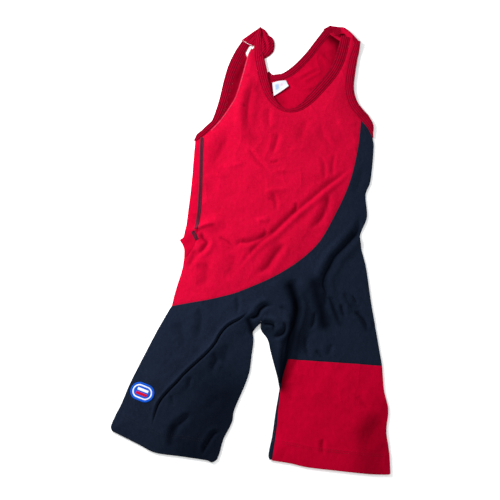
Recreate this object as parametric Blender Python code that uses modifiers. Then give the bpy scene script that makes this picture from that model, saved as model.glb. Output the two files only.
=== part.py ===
"""Wrestling singlet, laid flat on its back: two layers of knit cloth, cut and sewn from panels and bindings.

The garment lies with its hem towards -Y and its shoulder straps towards +Y. The plan of each seam and edge
is a short table in millimetres (right, up), measured from the middle of the laid garment, and a smooth curve
runs through its rows. A panel is the plan between such curves, cut into even cells, raised to its layer, and
thickened.
"""

import math
from collections import namedtuple

import bmesh
import bpy
from mathutils import Vector

# Driving dimensions, in millimetres.
PANEL_WALL = 1.2
BINDING_WALL = 1.8
SEAM_GAP = 0.3
CELL = 27.0
CURVE_STEP = 14.0
TURN_STEPS = 4
JOIN_WITHIN = 0.7
SIDE_INSET = 4.0
HIDDEN_INSET = 2.0
ROLLED_EDGE_WIDTH = 3.5
FRONT_STRAP_TOP, BACK_STRAP_TOP = 388.0, 346.0
PATCH_LENGTH, PATCH_WIDTH, PATCH_WALL = 45.0, 34.0, 1.0
PATCH_CENTRE, PATCH_TURN = (-189.0, -306.0), -24.0
LABEL_WALL = 1.0

BACK_LEVEL = PANEL_WALL / 2
BACK_BINDING_LEVEL = BINDING_WALL / 2
FRONT_LEVEL = BINDING_WALL + SEAM_GAP + PANEL_WALL / 2
FRONT_BINDING_LEVEL = BINDING_WALL + SEAM_GAP + BINDING_WALL / 2
TURN_RADIUS = (FRONT_LEVEL - BACK_LEVEL) / 2
TURN_REACH = TURN_RADIUS + PANEL_WALL / 2

MM = 0.001
COLLECTION_NAME = "wrestling_singlet"

Colour = namedtuple("Colour", "red green blue roughness")
CLOTH_RED = Colour(0.66, 0.006, 0.035, 0.75)
BINDING_RED = Colour(0.34, 0.003, 0.022, 0.8)
CLOTH_NAVY = Colour(0.010, 0.014, 0.026, 0.8)
LABEL_WHITE = Colour(0.75, 0.76, 0.80, 0.6)
PATCH_BLUE = Colour(0.010, 0.060, 0.33, 0.6)

# Seams and edges of the laid garment: rows of (right, up), in millimetres from the middle of the garment. The
# sides, legs and hems run clockwise, with the cloth on their right.
LINES = {
    "side_left_lower": ((-143, -153), (-137, -125), (-126, -84), (-123, -62)),
    "side_left_upper": (
        (-123, -62), (-124, -48), (-130, -30), (-123, -12), (-120, 12), (-115, 73), (-112, 120),
        (-109, 174),
    ),
    "side_seam": ((-117, -60), (-104, -38), (-99, -10), (-98, 20), (-96, 73), (-96, 145), (-96, 182)),
    "armpit_left": ((-96, 182), (-87, 190), (-79, 199)),
    "armpit_left_end": ((-107.4, 174.1), (-96, 182)),
    "armhole_left_front": (
        (-79, 199), (-61, 221), (-46, 245), (-32, 272), (-19, 318), (-13, 344), (-6, 370), (0, 383),
    ),
    "strap_end_right": ((202, 406), (207, 402), (211, 396)),
    "sweep": (
        (216, 220), (206, 157), (187, 86), (157, 21), (120, -40), (58, -90), (-18, -126), (-69, -141),
        (-110, -148), (-141.5, -153.5),
    ),
    "sweep_back": (
        (222, 207), (206, 154), (187, 86), (157, 21), (120, -40), (58, -90), (-18, -126), (-69, -141),
        (-139, -153),
    ),
    "side_right": (
        (236, 186), (238, 168), (237, 155), (231, 110), (226, 86), (217, 64), (217, 18), (207, -7),
        (201, -27), (210, -80), (216, -147), (229, -261),
    ),
    "leg_right_outer": ((229, -261), (230, -304), (235, -335), (229, -376), (232, -402), (232, -437)),
    "hem_right": ((230.4, -437), (199, -437), (135, -431), (92, -427), (65, -420), (41, -418)),
    "block_inner_lower": ((41, -418), (47, -366), (50, -336), (53, -300)),
    "block_inner_upper": ((53, -300), (57, -278), (65, -250)),
    "block_top": ((65, -250), (138, -255), (227.4, -261.1)),
    "leg_right_inner_lower": ((34, -418), (31, -411), (35, -382), (42, -338), (49, -300)),
    "leg_right_inner_upper": ((49, -300), (45, -280), (35, -241), (29, -214), (18, -198), (17, -183)),
    "leg_left_inner": (
        (17, -183), (9, -191), (3, -200), (4, -214), (1, -239), (-5, -277), (-30, -338), (-33, -356),
        (-48, -386), (-53, -404), (-58, -418),
    ),
    "hem_left": (
        (-59.6, -417.4), (-66, -421), (-73, -418), (-121, -411), (-163, -405), (-188, -393),
        (-235.4, -370.6),
    ),
    "leg_left_outer": (
        (-237, -371), (-239, -364), (-233, -347), (-222, -322), (-211, -292), (-171, -206),
        (-153, -171), (-143, -153),
    ),
    "back_strap_end_left": ((-20, 350), (-7, 346), (8, 340)),
    "back_strap_inner_left": ((8, 340), (14, 330), (26, 322)),
    "back_strap_end_right": ((163, 419), (180, 406), (196, 389)),
    "armhole_right_back": (
        (196, 389), (186, 340), (183, 312), (182, 278), (189, 250), (204, 228), (222, 207),
    ),
    "armhole_right_back_end": ((222, 207), (232, 190)),
    # The upper end of the left strap, which turns over on itself behind the front strap.
    "strap_fold_left": ((-18, 405), (6, 425), (21, 436), (19, 427), (14, 415), (8, 403), (-2, 396)),
    "strap_loop_left": (
        (23, 434), (30, 428), (36, 417), (44, 410), (48, 397), (46, 380), (38, 369), (27, 361),
        (18, 352), (9, 352), (7, 375), (11, 396), (18, 412),
    ),
}

# The bindings, along the seam where each is sewn on: rows of (right, up, width). The free edge lies the width
# away from the seam, on the left of the way along it.
BINDINGS = {
    "neck_front_left": (
        (13, 427, 6), (7, 397, 15), (7, 364, 19), (12, 331, 20), (20, 295, 18), (31, 269, 14),
        (46, 250, 11), (62, 240, 8), (77, 237, 8),
    ),
    "neck_front_right": (
        (77, 237, 8), (92, 239, 11), (106, 246, 14), (126, 263, 18), (147, 287, 20), (163, 307, 20),
        (177, 328, 20), (188, 352, 20), (196, 378, 20), (202, 406, 18),
    ),
    "neck_back": (
        (26, 322, 14), (34, 314, 14), (46, 309, 16), (71, 314, 16), (98, 335, 16), (125, 366, 16),
        (143, 392, 16), (163, 419, 17),
    ),
    "armhole_right_front": (
        (211, 396, 12), (205, 378, 15), (198, 357, 17), (188, 304, 18), (188, 278, 18), (195, 251, 18),
        (206, 233, 18), (216, 220, 18),
    ),
    "armhole_right_front_end": ((216, 220, 18), (227, 203, 14), (234.4, 188, 4)),
    "armhole_left_back": (
        (-96, 182, 14), (-87, 190, 14), (-79, 199, 14), (-66, 213, 14), (-56, 234, 16), (-47, 264, 17),
        (-36, 309, 19), (-27, 340, 20), (-15, 371, 19), (-3, 394, 17),
    ),
}

# The right strap's turn over the shoulder: one row for each section, from the neck side to the armhole side.
Turn = namedtuple("Turn", "back_right back_up crest_right crest_up crest_rise front_right front_up")
SHOULDER_TURN = (
    Turn(153, 433, 163, 439, 4.0, 170, 415),
    Turn(166, 421, 176, 434, 8.0, 187, 420),
    Turn(178, 411, 192, 431, 9.0, 196, 413),
    Turn(189, 402, 206, 417, 9.0, 205, 407),
    Turn(199, 392, 218, 402, 6.0, 217, 396),
)

# The largest folds of the front layer: a soft ridge from one place to another.
Fold = namedtuple("Fold", "from_right from_up to_right to_up width rise")
FOLDS = (
    Fold(-13, -172, -69, -236, 26, 4.0),
    Fold(-69, -236, -128, -298, 22, 3.5),
    Fold(84, -128, 76, -196, 24, 5.0),
    Fold(186, -30, 140, -78, 26, 3.5),
    Fold(132, -104, 136, -166, 24, 2.5),
    Fold(8, -160, 4, -186, 20, 3.0),
    Fold(-118, -16, -66, 4, 22, 3.0),
    Fold(146, 59, 112, 4, 24, 2.0),
    Fold(100, -8, 64, -42, 24, 2.0),
    Fold(-4, 300, -14, 220, 26, 2.0),
)


def smooth_curve(rows, step=CURVE_STEP):
    """Points of the smooth curve through the rows, about one step apart, with each row's own point kept.

    A third column, such as a binding's width, changes smoothly along the curve too.
    """
    spots = [Vector(row) for row in rows]
    before = spots[0] * 2 - spots[1]
    after = spots[-1] * 2 - spots[-2]
    padded = [before] + spots + [after]
    points = [spots[0]]
    for first, start, end, last in zip(padded, padded[1:], padded[2:], padded[3:]):
        span = (end - start).length
        pull_start = (end - first) * (span / ((start - first).length + span))
        pull_end = (last - start) * (span / ((last - end).length + span))
        pieces = max(1, round(span / step))
        for piece in range(1, pieces + 1):
            t = piece / pieces
            points.append(
                start * (2 * t**3 - 3 * t**2 + 1)
                + pull_start * (t**3 - 2 * t**2 + t)
                + end * (3 * t**2 - 2 * t**3)
                + pull_end * (t**3 - t**2)
            )
    return points


def normals_of(points, closed=False):
    """The unit normal to the right of the way along, at each point of a line."""
    normals = []
    count = len(points)
    for i in range(count):
        if closed:
            before, after = points[i - 1], points[(i + 1) % count]
        else:
            before, after = points[max(i - 1, 0)], points[min(i + 1, count - 1)]
        along = (after - before).normalized()
        normals.append(Vector((along.y, -along.x)))
    return normals


def shifted(points, distance):
    """The line moved to its right by a distance, or to its left by a negative one."""
    return [p + n * distance for p, n in zip(points, normals_of(points))]


def joined(*lines):
    """One closed outline from lines that follow each other."""
    outline = []
    for line in lines:
        for point in line:
            if not outline or (point - outline[-1]).length > JOIN_WITHIN:
                outline.append(point.copy())
    if (outline[0] - outline[-1]).length <= JOIN_WITHIN:
        outline.pop()
    return outline


def drawn_in(outline, distance):
    """The closed outline made smaller all round, whichever way it runs."""
    count = len(outline)
    turns = sum(outline[i - 1].cross(outline[i]) for i in range(count))
    inward = -1 if turns > 0 else 1
    moved = []
    for i, point in enumerate(outline):
        into = (point - outline[i - 1]).normalized()
        out_of = (outline[(i + 1) % count] - point).normalized()
        side_in = Vector((into.y, -into.x))
        side_out = Vector((out_of.y, -out_of.x))
        middle = side_in + side_out
        if middle.length < 0.3:
            middle = side_in
        middle.normalize()
        stretch = min(1 / max(middle.dot(side_in), 0.4), 2.0)
        moved.append(point + middle * (inward * distance * stretch))
    return moved


def nearest_on(line, spot):
    """(distance, share of the way along, outward normal) of the place on the line nearest to a spot."""
    lengths = [(b - a).length for a, b in zip(line, line[1:])]
    total = sum(lengths)
    normals = normals_of(line)
    best = None
    run = 0.0
    for i, (a, b) in enumerate(zip(line, line[1:])):
        t = max(0.0, min(1.0, (spot - a).dot(b - a) / (lengths[i] ** 2)))
        distance = (a.lerp(b, t) - spot).length
        if best is None or distance < best[0] - 1e-9:
            outward = -normals[i].lerp(normals[i + 1], t).normalized()
            best = (distance, (run + t * lengths[i]) / total, outward)
        run += lengths[i]
    return best


def below(line, height):
    """The part of a line that lies below a height."""
    return [point for point in line if point.y < height]


def along_line(line, share):
    """The place a share of the way along a line."""
    lengths = [(b - a).length for a, b in zip(line, line[1:])]
    left = share * sum(lengths)
    for a, b, length in zip(line, line[1:], lengths):
        if left <= length:
            return a.lerp(b, left / length)
        left -= length
    return line[-1].copy()


def fold_rise(spot):
    """How far the folds lift the front layer at a spot."""
    rise = 0.0
    for fold in FOLDS:
        start = Vector((fold.from_right, fold.from_up))
        end = Vector((fold.to_right, fold.to_up))
        way = end - start
        t = (spot - start).dot(way) / way.length_squared
        across = (spot - start - way * max(0.0, min(1.0, t))).length
        if across < fold.width:
            rise += fold.rise * (0.5 + 0.5 * math.cos(math.pi * across / fold.width))
    return rise


def front_height(spot):
    return FRONT_LEVEL + fold_rise(spot)


def front_binding_height(spot):
    return FRONT_BINDING_LEVEL + fold_rise(spot)


def back_height(_spot):
    return BACK_LEVEL


def back_binding_height(_spot):
    return BACK_BINDING_LEVEL


def material_of(name, colour):
    material = bpy.data.materials.new(name)
    material.use_nodes = True
    shader = material.node_tree.nodes["Principled BSDF"]
    shader.inputs["Base Color"].default_value = (colour.red, colour.green, colour.blue, 1.0)
    shader.inputs["Roughness"].default_value = colour.roughness
    shader.inputs["Metallic"].default_value = 0.0
    return material


def add_shell(name, mesh_data, wall, colour):
    """An object from an open surface in millimetres, thickened evenly to both sides of it."""
    bmesh.ops.recalc_face_normals(mesh_data, faces=mesh_data.faces[:])
    bmesh.ops.scale(mesh_data, vec=Vector((MM, MM, MM)), verts=mesh_data.verts[:])
    mesh = bpy.data.meshes.new(name)
    mesh_data.to_mesh(mesh)
    mesh_data.free()
    mesh.shade_smooth()
    mesh.set_sharp_from_angle(angle=math.radians(40))
    mesh.materials.append(material_of(name, colour))
    thing = bpy.data.objects.new(name, mesh)
    bpy.data.collections[COLLECTION_NAME].objects.link(thing)
    thicken = thing.modifiers.new("wall", "SOLIDIFY")
    thicken.thickness = wall * MM
    thicken.offset = 0.0
    thicken.use_even_offset = False
    return thing


def cut_into_cells(mesh_data, cell):
    """Cuts a flat face by even lines both ways, so that it can follow a height."""
    spots = [v.co for v in mesh_data.verts]
    for axis in range(2):
        low = min(s[axis] for s in spots)
        high = max(s[axis] for s in spots)
        normal = Vector((1.0, 0.0, 0.0)) if axis == 0 else Vector((0.0, 1.0, 0.0))
        for line in range(math.floor(low / cell) + 1, math.ceil(high / cell)):
            bmesh.ops.bisect_plane(
                mesh_data,
                geom=mesh_data.verts[:] + mesh_data.edges[:] + mesh_data.faces[:],
                plane_co=normal * (line * cell + 0.37),
                plane_no=normal,
                dist=0.05,
            )


def turn_edge(mesh_data, line, first_angle, seam=None):
    """Turns a panel's edge round to the other layer, and on to a seam's line where one is given."""
    near = 0.6
    edges = []
    records = {}
    for edge in mesh_data.edges:
        if not edge.is_boundary:
            continue
        spots = [Vector(v.co[:2]) for v in edge.verts]
        middle = (spots[0] + spots[1]) / 2
        if all(nearest_on(line, s)[0] < near for s in spots + [middle]):
            edges.append(edge)
    for edge in edges:
        for vertex in edge.verts:
            spot = Vector(vertex.co[:2])
            records[vertex] = (spot, nearest_on(line, spot), vertex.co.z)
    way = -1 if first_angle > 0 else 1
    steps = []
    for step in range(1, TURN_STEPS + 1):
        steps.append(("turn", first_angle + way * math.pi * step / TURN_STEPS))
    if seam is not None:
        steps += [("flat", 0.5), ("flat", 1.0)]
    for kind, amount in steps:
        made = bmesh.ops.extrude_edge_only(mesh_data, edges=edges)["geom"]
        new_vertices = [g for g in made if isinstance(g, bmesh.types.BMVert)]
        found = {}
        for vertex in new_vertices:
            for edge in vertex.link_edges:
                source = edge.other_vert(vertex)
                if source in records and (source.co - vertex.co).length < 1e-7:
                    found[vertex] = records[source]
        for vertex, (spot, (_, share, normal), start_height) in found.items():
            other_height = front_height(spot) if first_angle < 0 else BACK_LEVEL
            radius = abs(other_height - start_height) / 2
            centre = (other_height + start_height) / 2
            if kind == "turn":
                place = spot + normal * (radius * math.cos(amount))
                vertex.co = (place.x, place.y, centre + radius * math.sin(amount))
            else:
                place = spot.lerp(along_line(seam, share), amount)
                vertex.co = (place.x, place.y, front_height(place))
        records = found
        edges = [g for g in made if isinstance(g, bmesh.types.BMEdge) and all(v in found for v in g.verts)]


def add_panel(name, outline, height, colour, turns=(), cell=CELL, wall=PANEL_WALL):
    """A panel of cloth: the plan inside an outline, raised to its layer, with edges turned to the other."""
    mesh_data = bmesh.new()
    corners = drawn_in(outline, SEAM_GAP / 2)
    face = mesh_data.faces.new([mesh_data.verts.new((c.x, c.y, 0.0)) for c in corners])
    face.normal_update()
    cut_into_cells(mesh_data, cell)
    for vertex in mesh_data.verts:
        vertex.co.z = height(Vector(vertex.co[:2]))
    for line, first_angle, seam in turns:
        turn_edge(mesh_data, line, first_angle, seam)
    return add_shell(name, mesh_data, wall, colour)


def add_strip(name, seam, widths, height, colour, across=2):
    """A binding: a strip from its seam out to its free edge, which is on the left of the seam's way."""
    mesh_data = bmesh.new()
    rows = []
    for sewn, normal, width in zip(seam, normals_of(seam), widths):
        row = []
        for j in range(across + 1):
            out = SEAM_GAP / 2 + (width - SEAM_GAP / 2) * j / across
            spot = sewn - normal * out
            row.append(mesh_data.verts.new((spot.x, spot.y, height(spot))))
        rows.append(row)
    for row, following in zip(rows, rows[1:]):
        for j in range(across):
            mesh_data.faces.new((row[j], row[j + 1], following[j + 1], following[j]))
    return add_shell(name, mesh_data, BINDING_WALL, colour)


def add_shoulder_turn(name, colour):
    """The right strap where it turns over the shoulder: open sections that run from the back to the front."""
    mesh_data = bmesh.new()
    floor_gap = PANEL_WALL / 2
    rows = []
    for turn in SHOULDER_TURN:
        back = Vector((turn.back_right, turn.back_up, floor_gap))
        crest = Vector((turn.crest_right, turn.crest_up, turn.crest_rise / 2 + floor_gap))
        front = Vector((turn.front_right, turn.front_up, FRONT_LEVEL))
        under = back.lerp(crest, 0.75)
        under.z = floor_gap
        over = front.lerp(crest, 0.7)
        over.z = turn.crest_rise
        half = crest.lerp(under, 0.35)
        half.z = floor_gap + turn.crest_rise * 0.15
        middle = front.lerp(over, 0.5)
        middle.z = FRONT_LEVEL + (turn.crest_rise - FRONT_LEVEL) * 0.6
        rows.append([mesh_data.verts.new(p) for p in (back, under, half, crest, over, middle, front)])
    for row, following in zip(rows, rows[1:]):
        for j in range(len(row) - 1):
            mesh_data.faces.new((row[j], row[j + 1], following[j + 1], following[j]))
    return add_shell(name, mesh_data, PANEL_WALL, colour)


def stadium(centre, length, width, turn_degrees, steps=6):
    """A plan with straight sides and round ends."""
    radius = width / 2
    reach = length / 2 - radius
    turn = math.radians(turn_degrees)
    outline = []
    for side in (1, -1):
        for step in range(steps + 1):
            angle = math.pi * step / steps - math.pi / 2
            x = side * (reach + radius * math.cos(angle))
            y = side * radius * math.sin(angle)
            outline.append(
                Vector((
                    centre[0] + x * math.cos(turn) - y * math.sin(turn),
                    centre[1] + x * math.sin(turn) + y * math.cos(turn),
                ))
            )
    return outline


def build_front(curve):
    """The layer on top: red body, navy hips and left leg, red block on the right leg."""
    over = math.pi / 2
    inset = {name: shifted(curve[name], side * TURN_REACH) for name, side in (
        ("side_left_lower", 1), ("side_right", 1), ("leg_left_outer", 1), ("leg_left_inner", 1),
        ("leg_right_inner_upper", 1), ("leg_right_outer", 1),
    )}
    add_panel(
        "front_red",
        joined(
            inset["side_left_lower"], curve["side_seam"], curve["armpit_left"],
            curve["armhole_left_panel_side"], below(curve["neck_front_left"], FRONT_STRAP_TOP),
            curve["neck_front_right"], curve["strap_end_right"],
            curve["armhole_right_front"], curve["sweep"],
        ),
        front_height, CLOTH_RED, [(inset["side_left_lower"], over, None)],
    )
    add_panel(
        "front_navy",
        joined(
            curve["sweep"][::-1], curve["armhole_right_front_end"], inset["side_right"],
            curve["block_top"][::-1], curve["block_inner_upper"][::-1], inset["leg_right_inner_upper"],
            inset["leg_left_inner"],
            curve["hem_left"], inset["leg_left_outer"],
        ),
        front_height, CLOTH_NAVY,
        [(inset[name], over, None) for name in
         ("side_right", "leg_right_inner_upper", "leg_left_inner", "leg_left_outer")],
    )
    add_panel(
        "leg_block_front",
        joined(
            curve["block_top"], inset["leg_right_outer"], curve["hem_right"], curve["block_inner_lower"],
            curve["block_inner_upper"],
        ),
        front_height, CLOTH_RED, [(inset["leg_right_outer"], over, None)],
    )


def build_back(curve):
    """The layer on the floor, which wraps round to the front at the left side and inside the right leg."""
    under = -math.pi / 2
    wrap_side = shifted(curve["side_left_upper"], TURN_REACH)
    wrap_leg = shifted(curve["leg_right_inner_lower"], TURN_REACH)
    seam_side = [p + Vector((-SEAM_GAP / 2, 0)) for p in curve["side_seam"]]
    seam_leg = [p + Vector((-SEAM_GAP / 2, 0)) for p in curve["block_inner_lower"]]
    add_panel(
        "back_red",
        joined(
            shifted(curve["side_left_lower"], SIDE_INSET), wrap_side, curve["armpit_left_end"],
            below(curve["armhole_left_back"], BACK_STRAP_TOP), curve["back_strap_end_left"],
            curve["back_strap_inner_left"], curve["neck_back"], curve["back_strap_end_right"],
            curve["armhole_right_back"], curve["sweep_back"],
        ),
        back_height, CLOTH_RED, [(wrap_side, under, seam_side)],
    )
    add_panel(
        "back_navy",
        joined(
            curve["sweep_back"][::-1], curve["armhole_right_back_end"],
            shifted(curve["side_right"], SIDE_INSET), shifted(curve["leg_right_outer"], SIDE_INSET),
            curve["hem_right"][1:], wrap_leg,
            shifted(curve["leg_right_inner_upper"], SIDE_INSET), shifted(curve["leg_left_inner"], SIDE_INSET),
            curve["hem_left"][1:-1], shifted(curve["leg_left_outer"], SIDE_INSET),
        ),
        back_height, CLOTH_NAVY, [(wrap_leg, under, seam_leg)],
    )


def build_bindings(curve, width):
    """The ribbed strips round the neck and the armholes."""
    add_strip(
        "neck_binding_front", curve["neck_front_left"] + curve["neck_front_right"][1:],
        width["neck_front_left"] + width["neck_front_right"][1:], front_binding_height, BINDING_RED,
    )
    add_strip("neck_binding_back", curve["neck_back"], width["neck_back"], back_binding_height, BINDING_RED)
    add_strip(
        "armhole_binding_left_back", curve["armhole_left_back"], width["armhole_left_back"],
        back_binding_height, BINDING_RED,
    )
    rolled = curve["armhole_left_panel_side"]
    add_strip(
        "armhole_binding_left_front", rolled, [ROLLED_EDGE_WIDTH] * len(rolled),
        front_binding_height, BINDING_RED, across=1,
    )
    seam = curve["armhole_right_front"] + curve["armhole_right_front_end"][1:]
    widths = width["armhole_right_front"] + width["armhole_right_front_end"][1:]
    add_strip("armhole_binding_right_front", seam, widths, front_binding_height, BINDING_RED)
    free_edge = [sewn - normal * out for sewn, normal, out in zip(seam, normals_of(seam), widths)]
    hidden = curve["armhole_right_back"] + curve["armhole_right_back_end"][1:]
    hidden_widths = [nearest_on(free_edge, spot)[0] - HIDDEN_INSET for spot in hidden]
    add_strip("armhole_binding_right_back", hidden, hidden_widths, back_binding_height, BINDING_RED)


def build_straps(curve):
    """The upper ends of the straps, where front and back meet over the shoulder."""
    add_panel("strap_fold_left", joined(curve["strap_fold_left"]), back_height, BINDING_RED, cell=12.0)
    add_panel("strap_loop_left", joined(curve["strap_loop_left"]), back_height, BINDING_RED, cell=12.0)
    add_shoulder_turn("strap_turn_right", BINDING_RED)


def build_trim():
    """The patch on the left leg and the label inside the back of the neck."""

    def patch_height(spot):
        return front_height(spot) + (PANEL_WALL + PATCH_WALL) / 2 + SEAM_GAP

    def label_height(_spot):
        return PANEL_WALL + SEAM_GAP + LABEL_WALL / 2

    patch = stadium(PATCH_CENTRE, PATCH_LENGTH, PATCH_WIDTH, PATCH_TURN)
    add_panel("leg_patch", patch, patch_height, PATCH_BLUE, cell=10.0, wall=PATCH_WALL)
    label = [Vector(corner) for corner in ((42.5, 305), (70, 310), (75, 295), (48, 276))]
    add_panel("neck_label", label, label_height, LABEL_WHITE, cell=10.0, wall=LABEL_WALL)


def main():
    for thing in list(bpy.data.objects):
        bpy.data.objects.remove(thing)
    collection = bpy.data.collections.new(COLLECTION_NAME)
    bpy.context.scene.collection.children.link(collection)
    curve = {name: smooth_curve(rows) for name, rows in LINES.items()}
    width = {}
    for name, rows in BINDINGS.items():
        points = smooth_curve(rows)
        curve[name] = [point.xy for point in points]
        width[name] = [point.z for point in points]
    curve["armhole_left_panel_side"] = shifted(curve["armhole_left_front"], ROLLED_EDGE_WIDTH)
    build_front(curve)
    build_back(curve)
    build_bindings(curve, width)
    build_straps(curve)
    build_trim()


if __name__ == "__main__":
    main()
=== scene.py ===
"""Wrestling singlet, laid flat: its cloth, bindings, stitching and trim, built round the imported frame.

The garment lies with its hems towards -Y and its straps towards +Y. Plans are in millimetres, (right, up)
from the middle of the laid garment, and become metres when a mesh is made. Each cloth panel is the plan
between its seams, filled with small triangles, raised by the form of its layer, and given a wall.
"""

from __future__ import annotations

import logging
import math
from dataclasses import dataclass, field
from enum import Enum
from typing import Any, Callable, Sequence

import bmesh
import bpy
import numpy as np
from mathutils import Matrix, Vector
from mathutils.geometry import delaunay_2d_cdt

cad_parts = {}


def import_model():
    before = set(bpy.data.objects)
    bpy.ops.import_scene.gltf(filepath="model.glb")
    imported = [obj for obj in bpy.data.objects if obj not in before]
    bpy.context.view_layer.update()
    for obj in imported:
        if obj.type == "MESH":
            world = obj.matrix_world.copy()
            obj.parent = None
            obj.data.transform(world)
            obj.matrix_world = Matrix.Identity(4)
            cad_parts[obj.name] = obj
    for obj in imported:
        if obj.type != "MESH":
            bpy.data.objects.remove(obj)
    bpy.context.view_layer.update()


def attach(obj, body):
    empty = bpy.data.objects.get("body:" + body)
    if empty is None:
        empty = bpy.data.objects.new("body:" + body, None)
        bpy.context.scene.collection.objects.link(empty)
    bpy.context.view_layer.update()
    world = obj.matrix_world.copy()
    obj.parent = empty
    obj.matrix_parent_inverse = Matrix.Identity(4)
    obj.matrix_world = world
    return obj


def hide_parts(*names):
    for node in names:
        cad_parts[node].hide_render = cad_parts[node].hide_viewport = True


log = logging.getLogger("singlet")

Rows = tuple[tuple[float, ...], ...]
HeightOf = Callable[[np.ndarray], np.ndarray]
Colour = tuple[float, float, float, float]

MM = 0.001
PANEL_WALL = 1.2
BINDING_WALL = 1.8
LAYER_GAP = 0.3
BACK_LEVEL = PANEL_WALL / 2
BACK_BINDING_LEVEL = BINDING_WALL / 2
FRONT_LEVEL = BINDING_WALL + LAYER_GAP + PANEL_WALL / 2
BINDING_LIFT = (BINDING_WALL - PANEL_WALL) / 2
TURN_REACH = (FRONT_LEVEL - BACK_LEVEL) / 2 + PANEL_WALL / 2
SIDE_INSET = 4.0
ROLLED_EDGE_WIDTH = 3.5
LEAST_SHEET_WIDTH = 10.0
HEM_STITCH_ROWS = (28.0, 31.5)
# How dark a finish's deep colour becomes under the deepest painted shade.
DEEPEST_SHADE = 0.16
TURN_CUT_SHARE = 0.98
SEAM_HALF_GAP = 0.08
CREASE_GAIN = 1.45
CREASE_NARROWING = 0.85
STEEP = 0.42
FRONT_CELL = 2.0
BACK_CELL = 3.4
LINE_STEP = 2.0


# --- lines ------------------------------------------------------------------------------------------------


def unit(ways: np.ndarray) -> np.ndarray:
    """Each row at a length of one."""
    return ways / np.maximum(np.linalg.norm(ways, axis=1, keepdims=True), 1e-9)


def ease(t: np.ndarray) -> np.ndarray:
    """A smooth step from 0 to 1 as t goes from 0 to 1."""
    t = np.clip(t, 0, 1)
    return t * t * (3 - 2 * t)


def smooth_line(rows: Rows, step: float = LINE_STEP) -> np.ndarray:
    """Points of the smooth curve through the rows.

    Args:
        rows: The places that the curve passes through, of two or more columns.
        step: The spacing of the points in millimetres.

    Returns:
        The points, one a row, each row's own place among them.
    """
    spots = np.array(rows, float)
    padded = np.vstack((2 * spots[0] - spots[1], spots, 2 * spots[-1] - spots[-2]))
    parts = [spots[:1]]
    for first, start, end, last in zip(padded, padded[1:], padded[2:], padded[3:]):
        span = np.linalg.norm(end - start)
        pull_start = (end - first) * span / (np.linalg.norm(start - first) + span)
        pull_end = (last - start) * span / (np.linalg.norm(last - end) + span)
        pieces = max(1, round(span / step))
        t = (np.arange(1, pieces + 1) / pieces)[:, None]
        parts.append(
            start * (2 * t**3 - 3 * t**2 + 1) + pull_start * (t**3 - 2 * t**2 + t)
            + end * (3 * t**2 - 2 * t**3) + pull_end * (t**3 - t**2)
        )
    return np.vstack(parts)


def normals_of(line: np.ndarray) -> np.ndarray:
    """The unit normal to the right of the way along, at each point of a line in plan."""
    way = unit(np.gradient(line, axis=0))
    return np.column_stack((way[:, 1], -way[:, 0]))


def shifted(line: np.ndarray, distance: float) -> np.ndarray:
    """The line moved to its right by a distance, or to its left by a negative one."""
    return line + normals_of(line) * distance


def length_of(line: np.ndarray) -> float:
    """A line's length."""
    return float(np.hypot(*np.diff(line, axis=0).T).sum())


def shares_of(line: np.ndarray) -> np.ndarray:
    """Each point's share of the way along a line."""
    run = np.concatenate(([0], np.cumsum(np.linalg.norm(np.diff(line, axis=0), axis=1))))
    return run / run[-1]


def at_shares(line: np.ndarray, shares: np.ndarray) -> np.ndarray:
    """The places at shares of the way along a line."""
    own = shares_of(line)
    return np.column_stack([np.interp(shares, own, column) for column in line.T])


def evenly(line: np.ndarray, step: float) -> np.ndarray:
    """The line's points set out again at an even spacing."""
    run = float(np.linalg.norm(np.diff(line, axis=0), axis=1).sum())
    return at_shares(line, np.linspace(0, 1, max(2, round(run / step) + 1)))


def area_of(outline: np.ndarray) -> float:
    """The area inside a closed outline."""
    x, y = outline.T
    return 0.5 * abs(float(np.dot(x, np.roll(y, -1)) - np.dot(y, np.roll(x, -1))))


@dataclass
class Nearest:
    """For each place: how far a line is, the share of the way along it, and the side (1 is its left)."""

    distance: np.ndarray
    share: np.ndarray
    side: np.ndarray


def nearest(points: np.ndarray, line: np.ndarray) -> Nearest:
    """Finds the nearest place of a line to each point.

    Args:
        points: Places in plan, one a row.
        line: The line's points in plan.

    Returns:
        The distances, shares and sides.
    """
    lengths = np.hypot(*np.diff(line, axis=0).T)
    runs = np.concatenate(([0], np.cumsum(lengths)))
    best = np.full(len(points), np.inf)
    share, side = np.zeros(len(points)), np.ones(len(points))
    for start, end, length, run in zip(line, line[1:], lengths, runs):
        if length < 1e-9:
            continue
        way = (end - start) / length
        offset = points - start
        t = np.clip(offset @ way, 0, length)
        distance = (offset[:, 0] - t * way[0]) ** 2 + (offset[:, 1] - t * way[1]) ** 2
        closer = distance < best
        best[closer] = distance[closer]
        share[closer] = (run + t[closer]) / runs[-1]
        side[closer] = np.sign(way[0] * offset[closer, 1] - way[1] * offset[closer, 0])
    return Nearest(np.sqrt(best), share, side)


# --- plan -------------------------------------------------------------------------------------------------


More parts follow.
